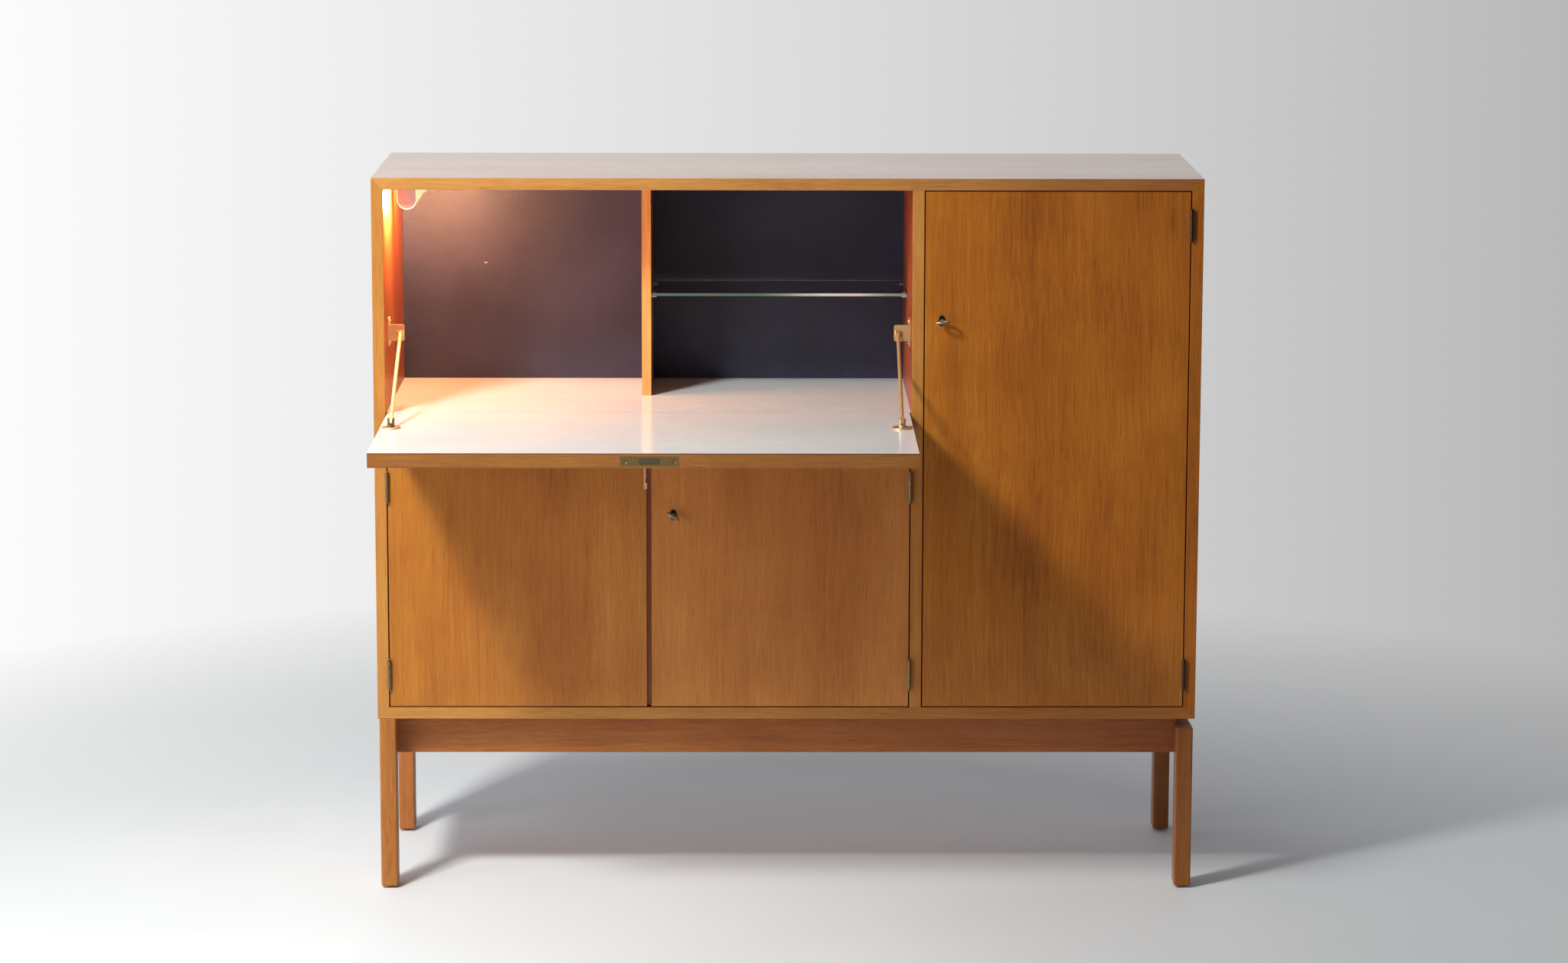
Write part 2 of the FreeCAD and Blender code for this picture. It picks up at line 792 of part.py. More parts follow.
def tall_shelf_levels():
    step = (inner_top - inner_bottom) / (tall_shelf_count + 1)
    return [inner_bottom + step * (index + 1) for index in range(tall_shelf_count)]


def loose_shelf_places():
    """Left face, right face and underside of every loose shelf's bay."""
    places = [(left_in, partition_left, lower_shelf_z())]
    places += [(partition_right, right_in, level) for level in tall_shelf_levels()]
    return places


def cupboard_shelves():
    shelf_y = (front + door_t + shelf_setback, back_face - shelf_back_gap)
    return [
        box((x0 + shelf_side_gap, x1 - shelf_side_gap), shelf_y, (z, z + shelf_t))
        for x0, x1, z in loose_shelf_places()
    ]


def cupboard_pins(gap=0.0):
    ends = (front + door_t + shelf_setback + shelf_pin_inset, back_face - shelf_back_gap - shelf_pin_inset)
    return [pin for x0, x1, z in loose_shelf_places() for pin in pins_under(x0, x1, ends, z, gap)]


def bar_divider():
    board = box(
        (meeting_x - divider_t, meeting_x), (divider_front, lining_face), (floor_z, inner_top)
    )
    return board.cut(glass_pins(tight_gap))


lamp_x = left_in + lamp_from_side + lamp_width / 2
lamp_y = (front + lamp_setback, front + lamp_setback + lamp_length)
lamp_r = lamp_width / 2
lamp_mid_z = inner_top - lamp_drop + lamp_r


def lamp_outline(inset, y):
    """Solid with the lamp's U-shaped section, smaller by the inset, between two depths."""
    r = lamp_r - inset
    upper = box(around(lamp_x, r), y, (lamp_mid_z, inner_top - lamp_sheet))
    lower = cylinder(r, vec(lamp_x, y[0], lamp_mid_z), Y, y[1] - y[0])
    return join(upper, lower)


def lamp_inner_y():
    return (lamp_y[0] + lamp_sheet, lamp_y[1] - lamp_sheet)


def lamp_housing():
    """Top plate, two end caps inside the cover's ends, and the tube's sockets."""
    inner = lamp_inner_y()
    cap_inset = lamp_sheet + lamp_cap_gap
    plate = box(around(lamp_x, lamp_r), lamp_y, (inner_top - lamp_sheet, inner_top))
    caps = [lamp_outline(cap_inset, (lamp_y[0], inner[0])), lamp_outline(cap_inset, (inner[1], lamp_y[1]))]
    sockets = [
        cylinder(lamp_socket_r, vec(lamp_x, inner[0], lamp_mid_z), Y, lamp_socket_length),
        cylinder(lamp_socket_r, vec(lamp_x, inner[1], lamp_mid_z), -Y, lamp_socket_length),
    ]
    return join(plate, *caps, *sockets)


def lamp_diffuser():
    """Clear-through cover of the lamp, open along its top, round both end caps."""
    return lamp_outline(0, lamp_y).cut(lamp_outline(lamp_sheet, lamp_y))


def lamp_tube():
    inner = lamp_inner_y()
    start = vec(lamp_x, inner[0] + lamp_socket_length, lamp_mid_z)
    return cylinder(lamp_tube_r, start, Y, inner[1] - inner[0] - 2 * lamp_socket_length)


def lead_hole():
    start = vec(lamp_x, lining_face, inner_top - lamp_drop - lead_hole_r)
    return cylinder(lead_hole_r, start, Y, lining_t + back_t)


# Carcass boards

def rebate_block():
    reach = panel_t - back_rebate
    x = (-width / 2 + reach, width / 2 - reach)
    return box(x, (back_face, rear), (base_height + reach, top_z - reach))


def mitred_board(outline):
    """Outer board with this outline seen from the front, mitred at its ends."""
    board = prism([vec(x, front, z) for x, z in outline], vec(0, depth, 0))
    return round_edges(board, edge_round, is_long_front_edge).cut(rebate_block())


def inner_board(x, z):
    """Board that stands between others and ends at the back panel."""
    return round_edges(box(x, (front, back_face), z), edge_round, is_long_front_edge)


def flap_strike():
    """Plate in the top board for the closed flap's bolt, its slot and the room behind it."""
    middle_y = axis_y + flap_lock_z - axis_z
    slot_x = around(flap_lock_x, flap_bolt_half + slide_gap)
    slot_y = around(middle_y, flap_bolt_t / 2 + slide_gap)
    plate_x = grown(slot_x, strike_over)
    plate = box(plate_x, around(middle_y, strike_half_d), (inner_top, inner_top + strike_t))
    socket = box(slot_x, slot_y, (inner_top, inner_top + flap_socket_depth))
    return plate, socket


def tall_strike():
    """Plate in the partition for the tall door's bolt, and the room behind it."""
    height = bolt_height(tall_key_z)
    middle_y = (bolt_y[0] + bolt_y[1]) / 2
    plate_x = (partition_right - strike_t, partition_right)
    plate = box(plate_x, around(middle_y, strike_half_d), grown(height, strike_over))
    socket_x = (partition_right - tall_socket_depth, partition_right)
    socket = box(socket_x, grown(bolt_y, slide_gap), grown(height, slide_gap))
    return plate, socket


def strike_plates():
    return [plate.cut(socket) for plate, socket in (flap_strike(), tall_strike())]


def top_panel():
    corners = [(-width / 2, top_z), (width / 2, top_z)]
    inner_corners = [(right_in, inner_top), (left_in, inner_top)]
    return mitred_board(corners + inner_corners).cut(list(flap_strike()))


def bottom_panel():
    corners = [(-width / 2, base_height), (width / 2, base_height)]
    inner_corners = [(right_in, inner_bottom), (left_in, inner_bottom)]
    return mitred_board(corners + inner_corners).cut(base_screws(tight_gap))


def left_side_panel():
    corners = [(-width / 2, base_height), (-width / 2, top_z)]
    inner_corners = [(left_in, inner_top), (left_in, inner_bottom)]
    cutters = hinge_pockets(DOORS["left_door"], -into_door(DOORS["left_door"])) + pivot_pockets(0)
    cutters += bracket_screws_of("left", tight_gap) + cupboard_pins(tight_gap)
    return mitred_board(corners + inner_corners).cut(cutters)


def right_side_panel():
    corners = [(width / 2, base_height), (width / 2, top_z)]
    inner_corners = [(right_in, inner_top), (right_in, inner_bottom)]
    cutters = hinge_pockets(DOORS["tall_door"], -into_door(DOORS["tall_door"]))
    return mitred_board(corners + inner_corners).cut(cutters + cupboard_pins(tight_gap))


def partition_panel():
    board = inner_board((partition_left, partition_right), (inner_bottom, inner_top))
    cutters = hinge_pockets(DOORS["right_door"], -into_door(DOORS["right_door"])) + pivot_pockets(1)
    cutters += bracket_screws_of("right", tight_gap) + list(tall_strike())
    return board.cut(cutters + cupboard_pins(tight_gap) + glass_pins(tight_gap))


def shelf_panel():
    slot = flush_slider_box(slide_gap, (shelf_under, shelf_under + flush_socket_depth))
    return inner_board((left_in, partition_left), (shelf_under, shelf_top)).cut(slot)


def bar_floor_layers():
    """Floor of the bar, hollowed along its front edge for the sweep of the flap's upper corner."""
    cove_r = math.hypot(flap_t / 2, flap_t / 2) + cove_gap
    start = axis_y + flap_t / 2 + cove_gap
    floor_x = (left_in, partition_left)
    slab = box(floor_x, (start, back_face), (shelf_top, floor_z))
    slab = slab.cut(cylinder(cove_r, vec(left_in, axis_y, axis_z), X, bar_width))
    return laminate_layer(slab, floor_x, (axis_y, back_face))


def bar_back_lining():
    board = box((left_in, partition_left), (lining_face, back_face), (floor_z, inner_top))
    return board.cut(lead_hole())


def back_panel():
    reach = panel_t - back_rebate
    x = (-width / 2 + reach, width / 2 - reach)
    board = box(x, (back_face, back_face + back_t), (base_height + reach, top_z - reach))
    return board.cut(lead_hole())


# Base

def leg(side, leg_y, top):
    """Square leg, eased along its edges, standing on its glide."""
    leg_x = (side * leg_outer, side * (leg_outer - leg_width))
    post = box(leg_x, leg_y, (glide_h, top))
    return round_edges(post, leg_round, lambda edge: True)


def leg_places():
    """Side, depth and top of each leg: the right-hand ones end below the carcass."""
    front_y = (front, front + leg_depth)
    rear_y = (rear - leg_depth, rear)
    return {
        "front_left_leg": (-1, front_y, base_height),
        "front_right_leg": (1, front_y, right_frame_top),
        "rear_left_leg": (-1, rear_y, base_height),
        "rear_right_leg": (1, rear_y, right_frame_top),
    }


def foot_glides():
    glides = []
    for side, leg_y, top in leg_places().values():
        middle = vec(side * (leg_outer - leg_width / 2), (leg_y[0] + leg_y[1]) / 2, 0)
        glides.append(cylinder(glide_r, middle, Z, glide_h))
    return glides


def base_rail(side, top):
    """Rail between the two legs of one side, level with their tops."""
    rail_y = (front + leg_depth, rear - leg_depth)
    return box((side * rail_outer, side * rail_inner), rail_y, (rail_bottom, top))


def apron(apron_y):
    return box((-rail_inner, rail_inner), apron_y, (rail_bottom, base_height))


front_apron_y = (front + apron_setback, front + apron_setback + apron_t)
rear_apron_y = (rear - apron_setback - apron_t, rear - apron_setback)


def corner_places():
    """Inner corners of the base frame, and the ways into the frame along X and Y."""
    return [
        (side * rail_inner, y, -side, into)
        for side in (-1, 1)
        for y, into in ((front_apron_y[1], 1), (rear_apron_y[0], -1))
    ]


def base_corner_blocks():
    holes = base_screws(tight_gap)
    blocks = []
    for x, y, to_x, to_y in corner_places():
        slant = block_size - block_chamfer
        steps = [(0, 0), (block_size, 0), (block_size, slant), (slant, block_size), (0, block_size)]
        low = base_height - block_height
        points = [vec(x + to_x * a, y + to_y * b, low) for a, b in steps]
        blocks.append(prism(points, vec(0, 0, block_height)).cut(holes))
    return blocks


def base_screws(gap=0.0):
    """Screws up through the corner blocks into the bottom board; with a gap, their holes."""
    low = base_height - block_height
    screws = []
    for x, y, to_x, to_y in corner_places():
        seat = vec(x + to_x * block_size / 2, y + to_y * block_size / 2, low)
        shank = cylinder(base_screw_r + gap, seat, Z, block_height + base_screw_bite)
        head = cylinder(base_screw_head_r, seat, -Z, base_screw_head_h)
        screws.append(shank if gap else join(head, shank))
    return screws


def save(name, shapes):
    """Write one node; several pieces of one kind stay separate solids."""
    solids = shapes if isinstance(shapes, list) else [shapes]
    solids = [solid for shape in solids for solid in shape.Solids]
    whole = solids[0] if len(solids) == 1 else Part.makeCompound(solids)
    whole.exportStep("parts/" + name + ".step")
    print(name, len(solids), round(whole.Volume, 1), whole.isValid())


def build():
    os.makedirs("parts", exist_ok=True)
    right_edge = DOORS["right_door"]["free_x"]
    tall_edge = DOORS["tall_door"]["free_x"]
    floor_laminate, floor_board = bar_floor_layers()

    nodes = {
        "top_panel": top_panel(),
        "bottom_panel": bottom_panel(),
        "left_side_panel": left_side_panel(),
        "right_side_panel": right_side_panel(),
        "partition_panel": partition_panel(),
        "shelf_panel": shelf_panel(),
        "bar_floor_board": floor_board,
        "bar_floor_laminate": floor_laminate,
        "bar_divider": bar_divider(),
        "bar_back_lining": bar_back_lining(),
        "back_panel": back_panel(),
        "glass_shelf": glass_shelf(),
        "lamp_housing": lamp_housing(),
        "lamp_diffuser": lamp_diffuser(),
        "lamp_tube": lamp_tube(),
        "cupboard_shelves": cupboard_shelves(),
        "shelf_pins": glass_pins() + cupboard_pins(),
        "strike_plates": strike_plates(),
        "bracket_screws": bracket_screws_of("left") + bracket_screws_of("right"),
        "front_apron": apron(front_apron_y),
        "rear_apron": apron(rear_apron_y),
        "left_base_rail": base_rail(-1, base_height),
        "right_base_rail": base_rail(1, right_frame_top),
        "base_corner_blocks": base_corner_blocks(),
        "base_screws": base_screws(),
        "foot_glides": foot_glides(),
        "hinge_frame_leaves": hinge_frame_leaves(),
        "hinge_pins": hinge_pins(),
        "flap_pivot_plates": flap_pivot_plates(),
        "flap_panel": flap_panel(),
        "flap_laminate": flap_layers()[0],
        "flap_lock": flap_lock(),
        "flap_lock_bolt": flap_lock_bolt(),
        "flap_lock_screws": flap_lock_screws(),
        "flap_pivot_pins": flap_pivot_pins(),
        "stay_feet": [stay_foot(name) for name in STAYS],
        "left_door_panel": left_door_panel(),
        "flush_bolt_plate": flush_bolt_plate(),
        "flush_bolt_slider": flush_bolt_slider(),
    }
    locks = {
        "right_door": (right_edge, right_key_x, right_key_z, right_key_turn),
        "tall_door": (tall_edge, tall_key_x, tall_key_z, tall_key_turn),
    }
    for name, (edge_x, key_x, key_z, turn) in locks.items():
        panel = door_blank(DOORS[name])
        nodes[name + "_panel"] = panel.cut(lock_cutters(edge_x, key_x, key_z))
        nodes[name + "_lock"] = door_lock(edge_x, key_x, key_z)
        nodes[name + "_lock_bolt"] = door_lock_bolt(edge_x, key_z)
        nodes[name + "_escutcheon"] = escutcheon(key_x, key_z)
        nodes[name + "_key"] = key(key_x, key_z, turn)
    for name in STAYS:
        nodes[name + "_stay_rod"] = stay_rod(name)
        nodes[name + "_stay_bracket"] = stay_bracket(name)
    for name, door in DOORS.items():
        nodes[name + "_hinge_leaves"] = hinge_door_halves(door)
    for name, place in leg_places().items():
        nodes[name] = leg(*place)

    for name, shapes in nodes.items():
        save(name, shapes)
    print(len(nodes), "nodes, front plane at y =", front)


build()
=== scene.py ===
import math

import bmesh
import bpy
from mathutils import Matrix, Vector


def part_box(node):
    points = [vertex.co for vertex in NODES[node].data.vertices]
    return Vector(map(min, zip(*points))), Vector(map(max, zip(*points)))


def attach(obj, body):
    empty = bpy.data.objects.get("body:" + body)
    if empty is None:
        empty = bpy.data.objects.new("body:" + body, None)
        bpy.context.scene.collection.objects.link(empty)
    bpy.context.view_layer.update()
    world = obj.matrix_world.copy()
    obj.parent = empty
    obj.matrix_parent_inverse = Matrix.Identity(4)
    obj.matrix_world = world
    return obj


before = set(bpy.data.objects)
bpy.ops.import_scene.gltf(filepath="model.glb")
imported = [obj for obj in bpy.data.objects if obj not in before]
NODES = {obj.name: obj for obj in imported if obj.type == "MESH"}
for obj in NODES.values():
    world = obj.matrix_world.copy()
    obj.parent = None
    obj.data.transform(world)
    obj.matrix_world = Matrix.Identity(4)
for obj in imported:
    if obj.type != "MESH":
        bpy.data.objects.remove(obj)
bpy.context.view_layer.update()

# Camera, found by matching the corners of the cabinet
CAMERA_PLACE = (-0.0742, -6.9951, 1.9839)
CAMERA_PITCH = 0.1614
CAMERA_YAW = 0.0098
CAMERA_ROLL = 0.0025
CAMERA_LENS = 95.87
CAMERA_SENSOR = 36.0
CAMERA_SHIFT = -0.05
CAMERA_REACH = 100.0

# Studio light: a key and a large fill, both on the left
KEY_PLACE = (-1.52, -1.58, 2.56)
KEY_TARGET = (-0.5, 0.0, 0.55)
KEY_SIZE = (0.45, 0.45)
KEY_POWER = 35.5
KEY_COLOUR = (1.0, 0.97, 0.86)
KEY_SPREAD = math.radians(120)
FILL_PLACE = (-2.4, -1.7, 1.0)
FILL_TARGET = (-0.3, 0.0, 0.6)
FILL_SIZE = (1.8, 1.8)
FILL_POWER = 30.0
FILL_COLOUR = (1.0, 1.0, 1.0)

# The world's light changes along each axis: from one direction to another, from one strength to another
WORLD_CHANGES = {
    "Y": (-0.5, 0.7, 0.29, 1.2),
    "X": (-0.35, 0.25, 1.0, 0.34),
    "Z": (0.15, 0.45, 1.0, 0.55),
}
WORLD_COLOUR = (1.0, 1.0, 1.0, 1.0)

# Lamp in the bar: a light on each of four faces, which may be moved along the lamp
LAMP_COLOUR = (1.0, 0.49, 0.22)
LAMP_MIDDLE = Vector((-0.643, 0.095, 1.189))
LAMP_CLEAR = 0.021
LAMP_FACES = {
    "down": {"way": (0, 0, -1), "size": (0.025, 0.13), "moved": 0.0, "power": 1.0},
    "left": {"way": (-1, 0, -0.3), "size": (0.1, 0.025), "moved": -0.02, "power": 4.6},
    "right": {"way": (1, 0.1, -0.3), "size": (0.05, 0.025), "moved": -0.045, "power": 1.2},
    "back": {"way": (0.4, 1, -0.1), "size": (0.03, 0.025), "moved": 0.065, "power": 2.5},
}

# Floor: tones, and the distances between which it fades out
FLOOR_REACH = 6.0
FLOOR_TONES = [(0.8, 0.855, 0.94), (0.855, 0.91, 0.995)]
FLOOR_SCALE = 1.5
FLOOR_FADE = (0.9, 2.5)


# Nodes of materials and world

# Range that holds most of a noise, how squarely a face looks along an axis, and how a seed moves a noise
NOISE_RANGE = (0.3, 0.7)
FACING_RANGE = (0.6, 0.8)
SEED_MOVES = (3.7, 5.3, 7.1)


class Nodes:
    """Short ways to build a node tree."""

    def __init__(self, tree):
        self.tree = tree

    def link(self, source, socket):
        """Link a socket, or set it to a constant."""
        if isinstance(source, bpy.types.NodeSocket):
            self.tree.links.new(source, socket)
        else:
            socket.default_value = source

    def node(self, kind, inputs=(), **settings):
        """New node with its settings, whose first inputs are fed in order."""
        node = self.tree.nodes.new(kind)
        for name, value in settings.items():
            setattr(node, name, value)
        for socket, value in zip(node.inputs, inputs):
            self.link(value, socket)
        return node

    def math(self, operation, *values):
        return self.node("ShaderNodeMath", values, operation=operation).outputs["Value"]

    def vector(self, operation, *values):
        return self.node("ShaderNodeVectorMath", values, operation=operation).outputs["Vector"]

    def length(self, vector):
        return self.node("ShaderNodeVectorMath", [vector], operation="LENGTH").outputs["Value"]

    def total(self, *parts):
        """Sum of values, each with its weight."""
        value, weight = parts[0]
        result = self.math("MULTIPLY", value, weight)
        for value, weight in parts[1:]:
            result = self.math("MULTIPLY_ADD", value, weight, result)
        return result

    def ranged(self, value, low, high, to_low=0.0, to_high=1.0):
        return self.node("ShaderNodeMapRange", [value, low, high, to_low, to_high]).outputs["Result"]

    def ramp(self, value, tones, low=NOISE_RANGE[0], high=NOISE_RANGE[1]):
        """Colours spread evenly between two values."""
        node = self.node("ShaderNodeValToRGB", [value])
        stops = node.color_ramp.elements
        while len(stops) < len(tones):
            stops.new(0.5)
        for index, (stop, tone) in enumerate(zip(stops, tones)):
            stop.position = low + (high - low) * index / (len(tones) - 1)
            stop.color = (*tone, 1.0)
        return node.outputs["Color"]

    def mix(self, factor, a, b):
        """Mix of two colours; the colour sockets of this node come after those for numbers and vectors."""
        node = self.node("ShaderNodeMix", data_type="RGBA")
        self.link(factor, node.inputs[0])
        self.link(a, node.inputs[6])
        self.link(b, node.inputs[7])
        return node.outputs[2]

    def parts(self, vector):
        return self.node("ShaderNodeSeparateXYZ", [vector]).outputs


class Material(Nodes):
    """A material with one Principled shader, coloured in the piece's own coordinates."""

    def __init__(self, name):
        self.data = bpy.data.materials.new(name)
        self.data.use_nodes = True
        super().__init__(self.data.node_tree)
        self.tree.nodes.clear()
        self.shader = self.node("ShaderNodeBsdfPrincipled")
        self.node("ShaderNodeOutputMaterial", [self.shader.outputs["BSDF"]])
        coordinates = self.node("ShaderNodeTexCoord")
        self.place = coordinates.outputs["Object"]
        self.normal = coordinates.outputs["Normal"]

    def set(self, **values):
        """Constants on the shader's own sockets; _ stands for a space."""
        for name, value in values.items():
            self.shader.inputs[name.replace("_", " ")].default_value = value

    def feed(self, name, source):
        self.tree.links.new(source, self.shader.inputs[name])

    def noise(self, scale, seed=0.0, detail=2.0, roughness=0.55, place=None):
        """Noise in coordinates that are scaled, by axis or evenly, and moved by a seed."""
        mapping = self.node("ShaderNodeMapping", [place or self.place])
        scales = scale if isinstance(scale, tuple) else (scale, scale, scale)
        mapping.inputs["Scale"].default_value = scales
        mapping.inputs["Location"].default_value = [seed * move for move in SEED_MOVES]
        node = self.node("ShaderNodeTexNoise", [mapping.outputs["Vector"]])
        node.inputs["Scale"].default_value = 1.0
        node.inputs["Detail"].default_value = detail
        node.inputs["Roughness"].default_value = roughness
        return node.outputs["Fac"]

    def facing(self, axis, sign):
        """1 on the faces that look along this axis, in the piece's own directions."""
        along = self.math("MULTIPLY", self.parts(self.normal)[axis], sign)
        return self.ranged(along, *FACING_RANGE)

    def radii_from(self, middle, radii):
        """Distance from a middle, in radii along each axis."""
        away = self.vector("SUBTRACT", self.place, middle)
        return self.length(self.vector("DIVIDE", away, radii))

    def bump(self, height, strength, distance):
        node = self.node("ShaderNodeBump")
        node.inputs["Strength"].default_value = strength
        node.inputs["Distance"].default_value = distance
        self.link(height, node.inputs["Height"])
        self.feed("Normal", node.outputs["Normal"])


# Tones of the woods, from the darkest line to the lightest streak

def tinted(tones, red, green, blue):
    """Tones with each of their channels scaled."""
    return [(tone[0] * red, tone[1] * green, tone[2] * blue) for tone in tones]


DOOR_TONES = [(0.29, 0.092, 0.0165), (0.445, 0.158, 0.03), (0.54, 0.21, 0.044), (0.63, 0.275, 0.068)]
# Painted light: paler, more golden tones for the left door's left part, where the key light falls
LIT_GOLD_DOOR_TONES = tinted(DOOR_TONES, 0.86, 0.84, 0.62)
# The doors' tones made paler and bluer for the right door: painted shade and painted reflection, for the
# cool shade and the pale floor's haze on it
SHADED_RIGHT_DOOR_TONES = tinted(DOOR_TONES, 1.12, 1.12, 1.3)
# Painted shade: darker, bluer tones for the left door's meeting lip, which sits back in the gap
SHADED_LIP_TONES = tinted(DOOR_TONES, 0.69, 0.71, 2.0)
TALL_TONES = [(0.23, 0.062, 0.0065), (0.35, 0.103, 0.01), (0.43, 0.14, 0.0145), (0.51, 0.187, 0.025)]
# Painted shade: paler, bluer tones for the tall door's lower part, in the flap's shadow
SHADED_LOW_TALL_TONES = tinted(TALL_TONES, 1.07, 1.14, 1.75)
EDGE_TONES = [(0.3, 0.112, 0.021), (0.425, 0.175, 0.036), (0.505, 0.224, 0.051), (0.595, 0.297, 0.08)]
# Painted light and shade on the top and bottom lipping: a paler copy where the key lights the left, and a
# darker copy where the light falls off to the right
LIT_EDGE_TONES = tinted(EDGE_TONES, 1.1, 1.2, 1.35)
SHADED_EDGE_TONES = tinted(EDGE_TONES, 0.77, 0.62, 0.58)
# Divider's front lipping: its own paler lipping, brightened further with painted light from the lamp beside
# it
LAMPLIT_DIVIDER_TONES = [(0.5, 0.21, 0.054), (0.67, 0.31, 0.095), (0.77, 0.39, 0.135), (0.83, 0.48, 0.19)]
DIVIDER_SIDE_TONES = [(0.19, 0.073, 0.022), (0.28, 0.115, 0.036), (0.34, 0.15, 0.05), (0.4, 0.19, 0.07)]
FLAP_TONES = [(0.16, 0.055, 0.015), (0.25, 0.094, 0.023), (0.31, 0.125, 0.033), (0.37, 0.164, 0.048)]
BASE_TONES = [(0.22, 0.062, 0.016), (0.35, 0.11, 0.0275), (0.44, 0.155, 0.041), (0.52, 0.21, 0.063)]
# Painted shade: darker base tones for the aprons, where the light falls off to the right
SHADED_BASE_TONES = tinted(BASE_TONES, 0.72, 0.64, 0.69)
# Lit and shaded copies of the leg wood: painted light on the front left leg, painted shade on the right
# legs
LIT_LEG_TONES = [(0.25, 0.08, 0.017), (0.39, 0.14, 0.029), (0.49, 0.195, 0.043), (0.57, 0.26, 0.066)]
SHADED_LEG_TONES = [(0.14, 0.04, 0.009), (0.22, 0.068, 0.015), (0.275, 0.096, 0.022), (0.33, 0.13, 0.034)]
INNER_TONES = [(0.27, 0.066, 0.016), (0.4, 0.108, 0.025), (0.49, 0.15, 0.037), (0.57, 0.2, 0.058)]
LEFT_INNER_TONES = [(0.22, 0.05, 0.012), (0.37, 0.098, 0.021), (0.47, 0.15, 0.032), (0.57, 0.216, 0.05)]
# Painted shade: darker tones for the rear of the left side's inner face, away from the lamp
SHADED_REAR_INNER_TONES = tinted(LEFT_INNER_TONES, 0.77, 0.65, 1.04)
# Painted shade: dark tones for the partition's face in the bar, standing in for the shade on it
SHADED_PARTITION_TONES = [(0.175, 0.031, 0.011), (0.25, 0.05, 0.016), (0.295, 0.067, 0.024), (0.335, 0.089, 0.036)]
PLY_TONES = [(0.2, 0.11, 0.05), (0.29, 0.17, 0.085), (0.36, 0.22, 0.115), (0.43, 0.28, 0.16)]
RED_BLOTCH = (0.33, 0.085, 0.018, 1.0)
PORE_TONE = (0.14, 0.042, 0.01, 1.0)

# Where other tones fade in, most of them painted light and shade: axis, and the places where they begin and
# are full
# Painted shade: where the darker lipping of the top and the bottom fades in towards the right
TOP_EDGE_SHADE_FADE = ("X", 0.0, 0.6)
BOTTOM_EDGE_SHADE_FADE = ("X", -0.6, 0.4)
# Painted shade: where the darker rear tones of the left side's inner face fade in
REAR_INNER_SHADE_FADE = ("Y", 0.08, 0.28)
LOW_EDGE_FADE = ("Z", 0.85, 0.75)
# Painted light: where the left door's golden tones fade in towards its left
LIT_DOOR_FADE = ("X", -0.4, -0.62)
# Painted shade: where the recessed lip's darker tones begin
LIP_SHADE_FADE = ("Y", -0.016, -0.014)
# Painted shade: where the tall door's lower, shaded tones fade in
LOW_TALL_SHADE_FADE = ("Z", 0.55, 0.38)
# Painted shade: where the apron's darker tones fade in towards the right
APRON_SHADE_FADE = ("X", -0.4, 0.5)

# Ways that a face can look
WAYS = {"front": ("Y", -1), "left": ("X", -1), "right": ("X", 1), "under": ("Z", -1)}

# Figure of the wood: each layer's scale across and along the grain, step of seed, roughness and weight
FIGURE_LAYERS = {
    "broad bands": (9.0, 0.7, 0.0, 0.55, 0.3),
    "streaks": (150.0, 1.6, 1.3, 0.6, 0.16),
    "fine lines": (600.0, 12.0, 2.1, 0.65, 0.34),
    "cross figure": (10.0, 6.0, 4.4, 0.55, 0.2),
}
FIGURE_DETAIL = 3.0
FIGURE_MIDDLE = 0.5
SWAY_SIZE = 0.03
SWAY_SCALE = 2.2
SWAY_SCALE_STEP = 0.1

# Blotches, pores and fibres: scale across and along the grain, and step of seed
BLOTCH_GRAIN = (6.0, 3.5)
BLOTCH_SEED = 8.0
BLOTCH_RANGE = (0.42, 0.68)
PORE_GRAIN = (800.0, 26.0)
PORE_SEED = 6.0
PORE_RANGE = (0.58, 0.7)
PORE_SHARE = 0.28
FIBRE_GRAIN = (650.0, 12.0)
FIBRE_SEED = 3.0
FIBRE_BUMP = (0.14, 0.0006)
FINE_ROUGHNESS = 0.5

# Finishes: roughness of the light and the dark wood, clear coat, and gloss under it
VARNISH = {"rough": (0.34, 0.48), "coat": 0.06, "gloss": 0.22}
POLISH = {"rough": (0.16, 0.26), "coat": 1.0, "gloss": 0.5}
BARE = {"rough": (0.5, 0.7), "coat": 0.0, "gloss": 0.22}
BARE_PLY = {"rough": (0.55, 0.75), "coat": 0.0, "gloss": 0.22}
FINISH_RANGE = (0.38, 0.62)
COAT_ROUGHNESS = 0.2
COAT_IOR = 1.5


# Wood

def stretched(grain, across, along):
    """Scale for a texture that runs along the grain."""
    return tuple(along if axis == grain else across for axis in "XYZ")


def wavy_place(m, grain, seed):
    """Coordinates that sway a little, so that the grain isn't ruled."""
    noise = m.node("ShaderNodeTexNoise", [m.place])
    noise.inputs["Scale"].default_value = SWAY_SCALE + SWAY_SCALE_STEP * (seed % 3)
    noise.inputs["Detail"].default_value = 1.0
    sway = m.vector("SUBTRACT", noise.outputs["Color"], (0.5, 0.5, 0.5))
    return m.vector("MULTIPLY_ADD", sway, stretched(grain, SWAY_SIZE, 0.0), m.place)


def wood_value(m, grain, seed, place):
    """The layers of the figure, mixed to one value."""
    layers = []
    for across, along, seed_step, roughness, weight in FIGURE_LAYERS.values():
        scale = stretched(grain, across, along)
        layers.append((m.noise(scale, seed + seed_step, FIGURE_DETAIL, roughness, place), weight))
    return m.total(*layers)


def fine_marks(m, grain, scales, seed, place):
    """Fine short marks along the grain."""
    return m.noise(stretched(grain, *scales), seed, roughness=FINE_ROUGHNESS, place=place)


